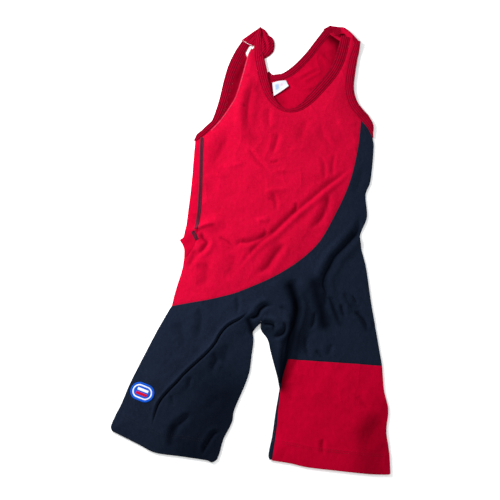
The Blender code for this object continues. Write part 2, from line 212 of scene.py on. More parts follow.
@dataclass(frozen=True)
class Plan:
    """The seams and edges of the laid garment, as rows of (right, up) or (right, up, binding width)."""

    side_left_lower: Rows = ((-143, -153), (-137, -125), (-126, -84), (-123, -62))
    side_left_upper: Rows = (
        (-123, -62), (-123.5, -47), (-127.5, -36), (-132.5, -27.5), (-125.5, -23.5), (-122.5, -12),
        (-120, 12),
        (-115, 73), (-112, 120),
        (-109, 174),
    )
    side_seam: Rows = ((-117, -60), (-104, -38), (-99, -10), (-98, 20), (-96, 73), (-96, 145), (-96, 182))
    armpit_left: Rows = ((-96, 182), (-87, 190), (-79, 199))
    armpit_left_end: Rows = ((-107.4, 174.1), (-96, 182))
    armhole_left_front: Rows = (
        (-79, 199), (-61, 221), (-46, 245), (-32, 272), (-19, 318), (-13, 344), (-6, 370), (0, 383),
    )
    strap_end_right: Rows = ((202, 406), (207, 402), (211, 396))
    sweep: Rows = (
        (216, 220), (206, 157), (187, 86), (157, 21), (120, -40), (58, -90), (-18, -126), (-69, -141),
        (-110, -148), (-141.5, -153.5),
    )
    sweep_back: Rows = (
        (222, 207), (206, 154), (187, 86), (157, 21), (120, -40), (58, -90), (-18, -126), (-69, -141),
        (-139, -153),
    )
    side_right: Rows = (
        (236.6, 182), (238, 168), (237, 155), (231, 110), (226, 86), (217, 64), (217, 18), (207, -7),
        (201, -27), (210, -80), (216, -147), (229, -261),
    )
    leg_right_outer: Rows = ((229, -261), (230, -304), (235, -335), (229, -376), (232, -402), (232, -440.5))
    hem_right: Rows = ((230.4, -440.5), (199, -439.8), (135, -433.5), (92, -428.5), (65, -422.5), (35, -418))
    block_inner_lower: Rows = ((35, -418), (43.4, -366), (46.4, -336), (51, -300))
    block_inner_upper: Rows = ((51, -300), (55.5, -278), (65, -250))
    block_top: Rows = ((65, -250), (138, -255), (227.4, -261.1))
    leg_right_inner_lower: Rows = ((31, -418), (29, -411), (35, -382), (42, -338), (49, -300))
    leg_right_inner_upper: Rows = ((49, -300), (45, -280), (35, -241), (29, -214), (18, -198), (17, -183))
    leg_left_inner: Rows = (
        (17, -183), (9, -191), (3, -200), (4, -214), (1, -239), (-5, -277), (-30, -338), (-33, -356),
        (-48, -386), (-53, -404), (-58, -418),
    )
    hem_left: Rows = (
        (-59.6, -417.4), (-66, -421), (-73, -418), (-121, -411), (-163, -405), (-188, -393),
        (-235.4, -370.6),
    )
    leg_left_outer: Rows = (
        (-237, -371), (-239, -364), (-233, -347), (-222, -322), (-211, -292), (-171, -206),
        (-153, -171), (-143, -153),
    )
    back_strap_end_left: Rows = ((-11, 374), (-8, 364), (-2, 354), (8, 342))
    back_strap_inner_left: Rows = ((8, 342), (14, 331), (26, 322))
    back_strap_end_right: Rows = ((163, 419), (180, 406), (196, 389))
    armhole_right_back: Rows = (
        (196, 389), (186, 340), (183, 312), (182, 278), (189, 250), (204, 228), (222, 207),
    )
    armhole_right_back_end: Rows = ((222, 207), (232, 190))
    # The upper end of the left strap, which turns over on itself behind the front strap.
    strap_fold_left: Rows = ((-20, 404), (6, 425), (21, 436), (19, 427), (14, 415), (10, 393), (-3, 390.5))
    strap_loop_left: Rows = (
        (20, 436), (30, 428), (36, 417), (44, 410), (48, 397), (46, 380), (38, 369), (27, 361),
        (18, 352), (9, 352), (7, 375), (11, 396), (18, 412),
    )
    neck_front_left: Rows = (
        (18, 434, 4), (13, 427, 8), (7, 397, 15), (7, 364, 19), (12, 331, 20), (20, 295, 18), (31, 269, 14),
        (46, 250, 11), (62, 240, 8), (77, 237, 8),
    )
    neck_front_right: Rows = (
        (77, 237, 8), (92, 239, 11), (106, 246, 14), (126, 263, 18), (147, 287, 20), (163, 307, 20),
        (177, 328, 20), (188, 352, 20), (196, 378, 20), (202, 406, 18),
    )
    neck_back: Rows = (
        (26, 322, 14), (34, 314, 14), (46, 309, 16), (71, 314, 16), (98, 335, 16), (125, 366, 16),
        (143, 392, 16), (163, 419, 17),
    )
    neck_back_end: Rows = ((163, 419, 17), (165, 421.5, 16), (167, 424, 14.5))
    armhole_right_front: Rows = (
        (213, 401, 11), (211, 396, 12), (205, 378, 15), (198, 357, 17), (188, 304, 18), (188, 278, 18),
        (195, 251, 18),
        (206, 233, 18), (216, 220, 18),
    )
    armhole_right_front_end: Rows = ((216, 220, 18), (227, 203, 14), (234.4, 188, 4), (236.6, 182, 1.6))
    armhole_left_tip: Rows = ((-105, 172, 9), (-96, 182, 14))
    armhole_left_back: Rows = (
        (-96, 182, 14), (-87, 190, 14), (-79, 199, 14), (-66, 213, 14), (-56, 234, 16), (-47, 264, 17),
        (-36, 309, 19), (-26, 340, 21), (-13, 371, 21), (-2, 394, 19), (2, 400, 18),
    )

    def line(self, name: str, step: float = LINE_STEP) -> np.ndarray:
        """A seam's smooth line, with its width column where it has one.

        Args:
            name: The seam's field.
            step: The spacing of the line's points in millimetres.

        Returns:
            The points, one a row.
        """
        return smooth_line(getattr(self, name), step)

    def edge(self, name: str) -> np.ndarray:
        """A seam's smooth line in plan only."""
        return self.line(name)[:, :2]

    def inset(self, name: str, distance: float) -> np.ndarray:
        """A seam's line moved into the cloth by a distance."""
        return shifted(self.edge(name), distance)


# --- form -------------------------------------------------------------------------------------------------


@dataclass(frozen=True)
class Crease:
    """A soft trough along a path, or a ridge where the depth is negative, with a shoulder on either side. A
    trough also darkens the cloth's colour along it as painted shade.
    """

    name: str
    path: Rows
    width: float
    depth: float
    left: float = 0.0
    right: float = 0.0
    fade_in: float = 0.2
    fade_out: float = 0.35

    def rise(self, points: np.ndarray) -> np.ndarray:
        """How far the crease lifts the cloth.

        Args:
            points: Places in plan, one a row.

        Returns:
            The rise at each place in millimetres.
        """
        return self.shape(points)[0]

    def shade(self, points: np.ndarray) -> np.ndarray:
        """How strongly the crease's painted shade darkens each place, from 0 to 1."""
        return self.shape(points)[1]

    def shape(self, points: np.ndarray) -> tuple[np.ndarray, np.ndarray]:
        """The rise and the painted shade at each place in plan."""
        line = smooth_line(self.path, 4.0)
        width = CREASE_NARROWING * self.width
        reach = 5.0 * width
        close = np.all((points > line.min(0) - reach) & (points < line.max(0) + reach), axis=1)
        rise, shade = np.zeros(len(points)), np.zeros(len(points))
        if close.any():
            near = nearest(points[close], line)
            fade = ease(near.share / self.fade_in) * ease((1 - near.share) / self.fade_out)
            q = near.distance / (width * (0.6 + 0.4 * fade))
            shoulder = np.where(near.side > 0, self.left, self.right) * np.exp(-(((q - 2.0) / 1.1) ** 2))
            rise[close] = CREASE_GAIN * fade * (shoulder - self.depth * np.exp(-q * q))
            # Painted shade: the colour darkens along a trough, the more the deeper it is.
            shade[close] = fade * min(1.0, max(0.0, self.depth / 4.0)) * np.exp(-((q / 0.6) ** 2))
        return rise, shade


@dataclass(frozen=True)
class Shade:
    """Painted shade along a path: cloth whose colour is darkened as if it lay in shade, as under a strap, in
    a deep fold or where less light falls.
    """

    path: Rows
    width: float
    strength: float

    def shade(self, points: np.ndarray) -> np.ndarray:
        """How strongly the painted shade darkens each place in plan, from 0 to 1."""
        away = nearest(points, np.array(self.path, float)).distance
        return self.strength * np.exp(-((away / self.width) ** 2))


@dataclass(frozen=True)
class Fold:
    """One of the largest folds of the front layer: a broad ridge from one place to another."""

    start: tuple[float, float]
    end: tuple[float, float]
    width: float
    height: float

    def rise(self, points: np.ndarray) -> np.ndarray:
        """How far the fold lifts the cloth at each place in plan."""
        near = nearest(points, np.array((self.start, self.end), float))
        across = np.clip(near.distance / self.width, 0, 1)
        return self.height * (0.5 + 0.5 * np.cos(np.pi * across))


@dataclass(frozen=True)
class Waves:
    """Faint unevenness of slack cloth: a sum of long waves in seeded directions."""

    count: int
    shortest: float
    longest: float
    height: float
    seed: int

    def rise(self, points: np.ndarray) -> np.ndarray:
        """How far the waves lift the cloth at each place in plan."""
        chance = np.random.default_rng(self.seed)
        rise = np.zeros(len(points))
        for _ in range(self.count):
            angle, start, share = chance.uniform(0, np.pi), chance.uniform(0, 2 * np.pi), chance.uniform()
            length = self.shortest * (self.longest / self.shortest) ** share
            way = np.array((math.cos(angle), math.sin(angle))) * 2 * np.pi / length
            rise += np.sin(points @ way + start)
        return rise * self.height / math.sqrt(self.count)


# The largest folds of the front layer, then its creases from the straps down to the hems.
FRONT_FOLDS = (
    Fold((-13, -172), (-69, -236), 26, 4.0),
    Fold((-69, -236), (-128, -298), 22, 3.5),
    Fold((84, -128), (76, -196), 24, 5.0),
    Fold((186, -30), (140, -78), 26, 3.5),
    Fold((132, -104), (136, -166), 24, 2.5),
    Fold((8, -160), (4, -186), 20, 3.0),
    Fold((-118, -16), (-66, 4), 22, 3.0),
    Fold((146, 59), (112, 4), 24, 2.0),
    Fold((100, -8), (64, -42), 24, 2.0),
    Fold((-4, 300), (-14, 220), 26, 2.0),
)
FRONT_CREASES = (
    Crease("strap_hollow", ((1, 299), (-6, 261), (-9, 224), (-3, 191)), 9, 2.2, 0.8, 0.8),
    Crease("strap_hollow_inner", ((35, 250), (33, 222), (34, 194)), 7, 1.0, 0.4, 0.4),
    Crease("armhole_tuck_upper", ((-21, 324), (-12, 321), (-2, 324)), 4, -1.2),
    Crease("armhole_tuck_lower", ((-32, 257), (-22, 254), (-11, 250)), 4, -1.3),
    Crease("armhole_drag", ((-42, 199), (-58, 162), (-76, 118), (-80, 84)), 15, 1.6, 0.4, 0.5, 0.3, 0.7),
    Crease("chest_upper", ((54, 195), (46, 163), (38, 142)), 6, 1.3, 0.5, 0.3),
    Crease("chest_dash", ((35, 128), (46, 129), (56, 133)), 4, 1.0, 0.5, 0.3),
    Crease("chest_arc", ((73, 150), (86, 156), (99, 154), (105, 147)), 5, -0.8),
    Crease("chest_slant", ((-7, 161), (10, 133), (25, 117), (38, 104)), 5, 0.8, 0.5, 0.3),
    Crease("armpit_ridge", ((166, 216), (191, 210), (212, 215)), 7, -1.3),
    Crease("chest_right_a", ((136, 210), (140, 183), (159, 155)), 7, 0.6, 0.3, 0.3),
    Crease("chest_right_b", ((111, 222), (100, 194), (92, 166)), 8, 0.8, 0.3, 0.3),
    Crease("chest_right_c", ((161, 147), (155, 117), (156, 91)), 4.5, 0.7, 0.3, 0.3),
    Crease("chest_right_d", ((133, 142), (140, 115), (137, 85)), 4.5, 0.6, 0.3, 0.3),
    Crease("rib_dash_left", ((-89, 100), (-65, 100), (-43, 95)), 6, -0.9),
    Crease("rib_dash_mid", ((-54, 120), (-35, 120), (-9, 129)), 6, -0.8),
    Crease("rib_line_right", ((38, 105), (67, 111), (100, 112)), 6, -0.9),
    Crease("belly_ridge", ((24, 61), (38, 68), (58, 71), (77, 68)), 7, -1.5),
    Crease("belly_under", ((30, 54), (44, 49), (54, 40)), 5.5, 0.7, 0.2, 0.2),
    Crease("belly_dash", ((85, 47), (83, 29), (72, 21)), 5, 1.3, 0.5, 0.2),
    Crease("belly_small", ((42, 65), (46, 47), (47, 23)), 5, 0.8, 0.3, 0.3),
    Crease(
        "long_drag", ((194, 123), (176, 105), (147, 83), (113, 53), (76, 21), (40, -14), (13, -37),
         (-9, -63), (-33, -97)), 6, 1.8, 1.4, 0.4,
    ),
    Crease("long_drag_over", ((167, 92), (130, 59), (90, 23), (56, -6)), 10, -1.2),
    Crease("hip_drag", ((148, 64), (140, 35), (127, 9), (103, -12)), 8, 1.9, 0.8, 0.7),
    Crease("hip_drag_low", ((64, -35), (49, -49), (37, -66), (26, -83), (2, -97)), 9, 2.2, 1.2, 0.4),
    Crease(
        "waist_hook", ((24, -4), (26, -17), (13, -26), (-6, -33), (-20, -33), (-32, -46)),
        6, 1.9, 1.2, 0.3,
    ),
    Crease("waist_ridge", ((10, 7), (24, 10), (36, 7)), 6, -1.5),
    Crease("waist_hook_left", ((-61, -23), (-44, -32), (-35, -40), (-31, -49)), 5, 1.1, 0.5, 0.3),
    Crease("waist_fold", ((-110, -13), (-94, -4), (-80, 1), (-64, 2)), 5, -2.4),
    Crease(
        "waist_fold_under", ((-92, -13), (-89, -26), (-82, -35), (-88, -46), (-102, -62)),
        6, 2.2, 1.2, 0.4,
    ),
    Crease("waist_low", ((-100, -46), (-109, -66), (-116, -85)), 9, 1.4, 0.5, 0.5),
    Crease("waist_low_ridge", ((-121, -69), (-106, -73), (-90, -77)), 6, -0.9),
    Crease("thigh_soft_a", ((-82, -69), (-86, -102), (-97, -124)), 12, 1.2, 0.5, 0.4),
    Crease("thigh_soft_b", ((-33, -52), (-36, -80), (-52, -108)), 12, 0.9, 0.3, 0.4),
    Crease("side_red_a", ((-114, 126), (-114, 80), (-117, 35)), 8, 0.7, 0.2, 0.2),
    Crease(
        "hip_S", ((203, 23), (196, -12), (172, -42), (153, -62), (143, -80), (134, -97), (130, -115),
         (134, -134),
         (131, -160), (136, -183)), 8, 3.6, 1.3, 1.5, 0.2, 0.3,
    ),
    Crease("hip_fan_a", ((107, -112), (118, -131), (124, -153)), 8, 1.3, 0.6, 0.4),
    Crease("navy_side_dash", ((213, 117), (203, 83), (191, 59)), 8, 0.9, 0.3, 0.3),
    Crease("navy_belly", ((82, -102), (79, -119), (86, -141)), 8, 1.5, 0.6, 0.4),
    Crease(
        "crotch_deep", ((74, -127), (81, -143), (82, -162), (78, -183), (67, -211), (61, -235),
         (55, -267), (50, -289)), 8, 5.0, 3.0, 1.0,
    ),
    Crease("crotch_shoulder", ((97, -146), (89, -183), (81, -213), (73, -246)), 8, -2.3),
    Crease("knee_a", ((115, -164), (110, -185), (103, -199)), 5, 2.2, 1.0, 0.8),
    Crease("knee_b", ((92, -204), (95, -231), (100, -253)), 7, 1.6, 0.8, 0.5),
    Crease("knee_c", ((161, -150), (164, -169), (169, -178)), 5, 2.0, 0.8, 0.8),
    Crease("knee_h", ((140, -132), (146, -152), (154, -172), (157, -190)), 4.5, 1.8, 0.7, 0.7),
    Crease("knee_i", ((166, -128), (176, -150), (186, -166)), 5, 1.6, 0.6, 0.6),
    Crease("knee_d", ((182, -134), (187, -144), (191, -153)), 4, 1.4, 0.6, 0.6),
    Crease("knee_e", ((184, -163), (198, -176), (205, -190), (206, -201)), 5, 2.6, 1.2, 1.0),
    Crease("knee_f", ((143, -222), (137, -235), (133, -247)), 6, 1.3, 0.6, 0.4),
    Crease("knee_g", ((113, -233), (120, -242), (128, -250)), 5, 1.3, 0.6, 0.4),
    Crease("curl_upper", ((-7, -178), (9, -172), (15, -161), (26, -153), (42, -155)), 5.5, 3.8, 1.6, 0.9),
    Crease("curl_hole", ((18, -185), (30, -186), (39, -188), (41, -193), (37, -199)), 5, 4.2, 2.2, 0.6),
    Crease("curl_tail", ((56, -181), (61, -192), (56, -204), (45, -209), (35, -208)), 5, 3.2, 1.2, 1.2),
    Crease("curl_far", ((48, -157), (62, -160), (71, -172), (72, -186)), 5, 1.5, 0.6, 0.5),
    Crease("inner_leg", ((31, -228), (37, -253), (44, -282), (48, -302)), 5, 1.8, 0.2, 0.8),
    Crease(
        "left_leg_main", ((-4, -166), (-21, -179), (-40, -190), (-53, -204), (-64, -224), (-75, -238),
         (-95, -256), (-116, -276), (-129, -291), (-146, -308), (-159, -326), (-165, -346),
         (-168, -366)), 2.5, 3.8, 0.3, 2.0, 0.12, 0.16,
    ),
    Crease("left_leg_kick", ((-69, -238), (-62, -251), (-67, -265), (-61, -278)), 6, 1.8, 0.8, 0.6),
    Crease("left_leg_dash_a", ((-103, -280), (-107, -289), (-107, -302)), 5, 1.5, 0.5, 0.6),
    Crease("left_leg_dash_b", ((-137, -311), (-136, -321), (-131, -332)), 5, 1.3, 0.4, 0.5),
    Crease("left_leg_soft", ((-95, -157), (-92, -183), (-98, -217)), 9, 1.4, 0.4, 0.4),
    Crease("left_leg_soft_b", ((-131, -183), (-123, -215), (-127, -235)), 12, 0.9, 0.3, 0.3),
    Crease("left_leg_top", ((-27, -138), (-24, -154), (-26, -172)), 5, 1.2, 0.4, 0.4),
    Crease(
        "left_leg_hem", ((-101, -340), (-117, -355), (-131, -367), (-137, -384), (-140, -400)),
        7, 2.8, 0.8, 1.2,
    ),
    Crease(
        "left_leg_corner", ((-53, -375), (-63, -375), (-71, -386), (-78, -398), (-82, -413)),
        4.5, 3.2, 0.4, 1.8,
    ),
    Crease("left_leg_inside", ((-41, -222), (-46, -244), (-50, -267)), 9, 1.0, 0.3, 0.3),
    Crease("left_leg_inside_b", ((-58, -311), (-67, -328), (-80, -341)), 9, 1.0, 0.3, 0.4),
    Crease("block_slant", ((181, -311), (193, -328), (202, -341)), 9, 0.9, 0.3, 0.3),
    Crease("block_side", ((230, -345), (213, -362), (196, -385), (197, -416)), 14, 2.0, 0.8, 0.8),
    Crease("block_dash", ((121, -383), (119, -397), (120, -413)), 4.5, 1.4, 0.4, 0.4),
    Crease("block_left_soft", ((71, -289), (67, -311), (68, -328)), 9, 0.8, 0.2, 0.2),
)

# The creases of the back layer where it shows in the neck and the armhole.
BACK_CREASES = (
    Crease("neck_inside_top", ((139, 368), (148, 362), (158, 347)), 5, -1.6),
    Crease("neck_inside_mid", ((85, 316), (101, 321), (122, 334), (142, 343)), 5, -1.8),
    Crease("neck_inside_mid_low", ((100, 306), (118, 316), (146, 334)), 4, -1.4),
    Crease("neck_inside_low", ((75, 299), (94, 293), (113, 291), (130, 299)), 5, -1.7),
    Crease("neck_inside_drag", ((154, 388), (161, 361), (155, 334)), 8, -1.5),
    Crease("arm_inside_a", ((-20, 349), (-30, 325), (-35, 307)), 5, -1.5),
    Crease("arm_inside_b", ((-40, 296), (-30, 293), (-22, 296)), 4, -1.3),
    Crease("arm_inside_c", ((-53, 267), (-40, 270), (-30, 278)), 4, -1.3),
)


# Painted shade: where the cloth's colour is darkened as if it lay in shade, on the front layer and inside the
# garment.
FRONT_SHADES = (
    Shade(((0, 290), (-6, 235), (-6, 185)), 17, 0.26),
    Shade(((-48, 190), (-70, 130), (-82, 80)), 20, 0.14),
    Shade(((60, 215), (130, 190)), 40, 0.08),
    Shade(((70, -118), (82, -160), (73, -212), (60, -255), (51, -296)), 12, 1.0),
    Shade(((114, -112), (121, -148), (129, -188)), 12, 0.85),
    Shade(((141, -140), (156, -186)), 6, 0.50),
    Shade(((172, -132), (204, -196)), 6, 0.32),
    Shade(((-6, -180), (-2, -190), (2, -200)), 6, 0.90),
    Shade(((32, -228), (42, -272), (46, -296)), 12, 0.40),
    Shade(((190, -18), (172, -40), (150, -66), (134, -98), (131, -150)), 8, 0.62),
    Shade(((20, -192), (44, -200)), 11, 0.45),
    # Broad painted shade over the lower left leg, where less light falls, not along a fold.
    Shade(((-52, -318), (-92, -404)), 58, 0.60),
    Shade(((-130, -366), (-137, -390)), 9, 0.72),
    Shade(((20, -330), (36, -300)), 30, 0.35),
    # Broad painted shade over the leg block's lower right and along its right edge, where less light falls.
    Shade(((208, -368), (198, -437)), 30, 0.46),
    Shade(((226, -330), (228, -430)), 14, 0.25),
)
BACK_SHADES = (
    Shade(((166, 413), (180, 400), (185, 378)), 14, 0.95),
    Shade(((-12, 356), (-32, 305), (-50, 245), (-72, 205)), 14, 0.70),
    Shade(((34, 300), (60, 262)), 10, 0.30),
    Shade(((150, 372), (160, 345)), 16, 0.22),
)


@dataclass
class Form:
    """The form of the two layers of the laid garment: the height of the middle of each layer's wall."""

    plan: Plan
    puff: float = 4.6
    puff_reach: float = 26.0
    hem_depth: float = 34.0
    hem_rise: float = 0.5
    seam_dip: float = 0.55
    right_strap_rise: float = 4.6
    left_strap_rise: float = 2.6
    slack: Waves = Waves(14, 34.0, 120.0, 0.55, 11)
    crumple: Waves = Waves(26, 9.0, 26.0, 0.10, 5)
    back_slack: Waves = Waves(12, 40.0, 110.0, 0.8, 29)

    SILHOUETTE = (
        "side_left_upper", "side_left_lower", "leg_left_outer", "hem_left", "leg_left_inner",
        "leg_right_inner_upper", "leg_right_inner_lower", "hem_right", "leg_right_outer", "side_right",
        "armhole_right_front", "neck_front_left", "neck_front_right", "armhole_left_front", "armpit_left",
    )
    HEMS = ("hem_left", "hem_right")
    SEAMS = ("sweep", "block_top", "block_inner_upper", "block_inner_lower", "side_seam")

    def away(self, points: np.ndarray, names: Sequence[str]) -> np.ndarray:
        """The distance of each place from the nearest of the named lines."""
        return np.min([nearest(points, self.plan.line(name, 7.0)[:, :2]).distance for name in names], axis=0)

    def front(self, points: np.ndarray) -> np.ndarray:
        """The height of the middle of the front layer's wall.

        Args:
            points: Places in plan, one a row.

        Returns:
            Heights in millimetres.
        """
        x, y = points[:, 0], points[:, 1]
        from_edge = self.away(points, self.SILHOUETTE)
        rise = self.puff * (1 - np.exp(-from_edge / self.puff_reach))
        rise += self.slack.rise(points) * (1 - np.exp(-from_edge / 14.0))
        rise += self.crumple.rise(points)
        rise += self.hem_rise * ease((self.hem_depth - self.away(points, self.HEMS)) / 3.0 + 0.5)
        rise -= self.seam_dip * np.exp(-((self.away(points, self.SEAMS) / 1.6) ** 2))
        rise += self.right_strap_rise * ease((y - 362) / 46) * (x > 130)
        rise += self.left_strap_rise * ease((y - 330) / 70) * (x < 90)
        for shape in FRONT_FOLDS + FRONT_CREASES:
            rise += shape.rise(points)
        above = rise + 0.6
        return FRONT_LEVEL - 0.6 + 0.5 * (above + np.sqrt(above**2 + 0.3))

    def front_shade(self, points: np.ndarray) -> np.ndarray:
        """How strongly painted shade darkens each place of the front layer, from 0 to 1, from its creases and
        shade strokes.
        """
        return np.clip(np.max([shape.shade(points) for shape in FRONT_CREASES + FRONT_SHADES], axis=0), 0, 1)

    def back_shade(self, points: np.ndarray) -> np.ndarray:
        """How strongly painted shade darkens each place of the back layer, from 0 to 1."""
        return np.clip(np.max([shape.shade(points) for shape in BACK_SHADES], axis=0), 0, 1)

    def front_binding(self, points: np.ndarray) -> np.ndarray:
        """The height of the middle of a front binding."""
        return self.front(points) + BINDING_LIFT

    def back(self, points: np.ndarray) -> np.ndarray:
        """The height of the middle of the back layer's wall, which lies on the floor but for a few folds."""
        rise = sum(crease.rise(points) for crease in BACK_CREASES)
        from_edge = self.away(points, self.SILHOUETTE)
        covered = 1 - np.exp(-(((from_edge / 40.0) ** 2)))
        rise = np.maximum(rise, 0) + np.maximum(self.back_slack.rise(points), 0) * covered
        return BACK_LEVEL + rise

    def back_binding(self, points: np.ndarray) -> np.ndarray:
        """The height of the middle of a back binding, which lies on the floor."""
        return np.full(len(points), BACK_BINDING_LEVEL)


# --- meshes -----------------------------------------------------------------------------------------------


class Surface:
    """The points, faces and pattern places of a mesh that is being made, in millimetres."""

    def __init__(self) -> None:
        """Starts with nothing."""
        self.points: list[np.ndarray] = []
        self.places: list[np.ndarray] = []
        self.shades: list[np.ndarray] = []
        self.faces: list[tuple[int, ...]] = []
        self.slots: list[int] = []
        self.count = 0

    def add(
        self, points: np.ndarray, places: np.ndarray | None = None, shade: np.ndarray | None = None,
    ) -> np.ndarray:
        """Adds points.

        Args:
            points: (x, y, z), one a row.
            places: Where each lies on the cloth's own pattern, (across, along), or None for its plan.
            shade: How strongly painted shade darkens each, or None for not at all.

        Returns:
            The new points' numbers.
        """
        self.points.append(np.asarray(points, float))
        self.places.append(np.asarray(points, float)[:, :2] if places is None else np.asarray(places, float))
        self.shades.append(np.zeros(len(points)) if shade is None else shade)
        first, self.count = self.count, self.count + len(points)
        return np.arange(first, self.count)

    def face(self, corners: Sequence[int], slot: int = 0) -> None:
        """Adds one face."""
        self.faces.append(tuple(int(c) for c in corners))
        self.slots.append(slot)

    def strip(
        self, row: Sequence[int], following: Sequence[int], closed: bool = False, slot: int = 0,
    ) -> None:
        """Joins two rows of points with four-sided faces."""
        count = len(row) if closed else len(row) - 1
        for i in range(count):
            j = (i + 1) % len(row)
            self.face((row[i], row[j], following[j], following[i]), slot)

    def build(self, name: str, finishes: Sequence[bpy.types.Material], wall: float = 0.0) -> bpy.types.Object:
        """Makes the object, closed by a wall of cloth where one is given.

        Args:
            name: The object's name.
            finishes: Its materials, in the order of the faces' slots.
            wall: The wall's thickness in millimetres, laid evenly to both sides.

        Returns:
            The object, at the origin and smooth.
        """
        mesh = bpy.data.meshes.new(name)
        mesh.from_pydata((np.vstack(self.points) * MM).tolist(), [], self.faces)
        mesh.polygons.foreach_set("material_index", self.slots)
        pattern = mesh.uv_layers.new(name="pattern")
        corners = np.zeros(len(mesh.loops), int)
        mesh.loops.foreach_get("vertex_index", corners)
        pattern.data.foreach_set("uv", (np.vstack(self.places) * MM)[corners].astype(np.float32).ravel())
        # The painted shade goes on the mesh as a point attribute, which the finishes use to darken the base
        # colour.
        shade = mesh.attributes.new("shade", "FLOAT", "POINT")
        shade.data.foreach_set("value", np.concatenate(self.shades).astype(np.float32))
        working = bmesh.new()
        working.from_mesh(mesh)
        bmesh.ops.recalc_face_normals(working, faces=working.faces[:])
        if wall and sum(f.normal.z * f.calc_area() for f in working.faces) < 0:
            bmesh.ops.reverse_faces(working, faces=working.faces[:])
        working.to_mesh(mesh)
        working.free()
        thing = bpy.data.objects.new(name, mesh)
        bpy.context.scene.collection.objects.link(thing)
        for finish in finishes:
            mesh.materials.append(finish)
        if wall:
            thicken = thing.modifiers.new("wall", "SOLIDIFY")
            thicken.thickness = wall * MM
            thicken.offset = 0.0
            select_only(thing)
            bpy.ops.object.modifier_apply(modifier=thicken.name)
        thing.data.shade_smooth()
        if wall:
            thing.data.set_sharp_from_angle(angle=math.radians(62))
        return thing


class Outline:
    """A closed outline made of named stretches, which remembers the points of each."""

    JOIN_WITHIN = 0.7

    def __init__(self) -> None:
        """Starts with no stretch."""
        self.points: list[np.ndarray] = []
        self.stretches: dict[str, list[int]] = {}

    def add(self, name: str, line: np.ndarray) -> "Outline":
        """Adds a stretch that follows the last one."""
        numbers = self.stretches.setdefault(name, [])
        for point in line:
            if self.points and np.hypot(*(point - self.points[-1])) <= self.JOIN_WITHIN:
                if not numbers or numbers[-1] != len(self.points) - 1:
                    numbers.append(len(self.points) - 1)
                continue
            self.points.append(point)
            numbers.append(len(self.points) - 1)
        return self

    def closed(self, gap: float = SEAM_HALF_GAP) -> np.ndarray:
        """The outline's points, drawn in all round by a gap."""
        if np.hypot(*(self.points[0] - self.points[-1])) <= self.JOIN_WITHIN:
            self.points.pop()
            last = len(self.points)
            for numbers in self.stretches.values():
                numbers[:] = [0 if n == last else n for n in numbers]
        points = np.array(self.points)
        way_in = points - np.roll(points, 1, axis=0)
        way_out = np.roll(points, -1, axis=0) - points
        way = unit(unit(way_in) + unit(way_out))
        turns = np.sum(way_in[:, 0] * way_out[:, 1] - way_in[:, 1] * way_out[:, 0])
        right = np.column_stack((way[:, 1], -way[:, 0]))
        return points + right * (gap if turns < 0 else -gap)


def inside(points: np.ndarray, outline: np.ndarray) -> np.ndarray:
    """Which of the places lie inside a closed outline."""
    x, y = points[:, 0], points[:, 1]
    within = np.zeros(len(points), bool)
    for (ax, ay), (bx, by) in zip(outline, np.roll(outline, -1, axis=0)):
        if ay != by:
            crosses = (ay > y) != (by > y)
            within ^= crosses & (x < (bx - ax) * (y - ay) / (by - ay) + ax)
    return within


def lattice(low: np.ndarray, high: np.ndarray, cell: float) -> np.ndarray:
    """Evenly spaced points between two corners, in staggered rows."""
    across = np.arange(low[0], high[0], cell)
    rows = [
        np.column_stack((across + (row % 2) * cell / 2, np.full(len(across), y)))
        for row, y in enumerate(np.arange(low[1], high[1], cell * math.sqrt(0.75)))
    ]
    return np.vstack(rows)


def beside(points: np.ndarray, lines: Sequence[tuple[np.ndarray, float]]) -> np.ndarray:
    """Which of the places lie within its reach of any of the lines."""
    found = np.zeros(len(points), bool)
    for line, reach in lines:
        inside = (points > line.min(0) - reach) & (points < line.max(0) + reach)
        close = np.flatnonzero(np.all(inside, axis=1))
        found[close[nearest(points[close], line).distance < reach]] = True
    return found


def fill(
    outline: np.ndarray, cell: float, fine: Sequence[tuple[np.ndarray, float]] = (),
) -> tuple[np.ndarray, list[list[int]], dict[int, int]]:
    """Fills a closed outline with small triangles.

    Args:
        outline: The outline's points, one a row.
        cell: The spacing of the points inside it.
        fine: Lines along which the spacing is halved, each with how far to either side.

    Returns:
        All the points, the triangles, and each outline point's number among the points.
    """
    low, high = outline.min(0), outline.max(0)
    grid = lattice(low, high, cell)
    if fine:
        close = lattice(low, high, cell / 2)
        grid = np.vstack((grid[~beside(grid, fine)], close[beside(close, fine)]))
    grid = grid[inside(grid, outline)]
    rim = np.vstack((outline, outline[:1]))
    grid = grid[nearest(grid, rim).distance > 0.5 * cell]
    everything = [Vector(p) for p in np.vstack((outline, grid))]
    found = delaunay_2d_cdt(everything, [], [list(range(len(outline)))], 1, 1e-5)
    points, _, triangles, sources = found[:4]
    where = {source: number for number, all_sources in enumerate(sources) for source in all_sources}
    return np.array([tuple(p) for p in points]), triangles, where


def select_only(thing: bpy.types.Object) -> None:
    """Makes one object the only one selected, and the active one."""
    bpy.ops.object.select_all(action="DESELECT")
    thing.select_set(True)
    bpy.context.view_layer.objects.active = thing


def declare(
    thing: bpy.types.Object, slot: str, *nodes: str, flat: tuple[float, float] | None = None,
    area: float | None = None, rests_on: Sequence[str] = (),
) -> bpy.types.Object:
    """Fixes a piece to the garment's one body, hides the frame's nodes that it replaces and logs its face
    count.

    Args:
        thing: The piece.
        slot: The record's material slot for its finish. Not used.
        nodes: The frame's nodes that it replaces.
        flat: The width and length of its cut in metres, where it is a sheet. Not used.
        area: The area of its cut in square metres. Not used.
        rests_on: What a sheet lies on. Not used.

    Returns:
        The piece.
    """
    if nodes:
        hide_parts(*nodes)
    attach(thing, "root")
    log.info("%s: %d faces", thing.name, len(thing.data.polygons))
    return thing


# --- panels -----------------------------------------------------------------------------------------------


class Layer(Enum):
    """The layer that a panel lies in."""

    FRONT = "front"
    BACK = "back"


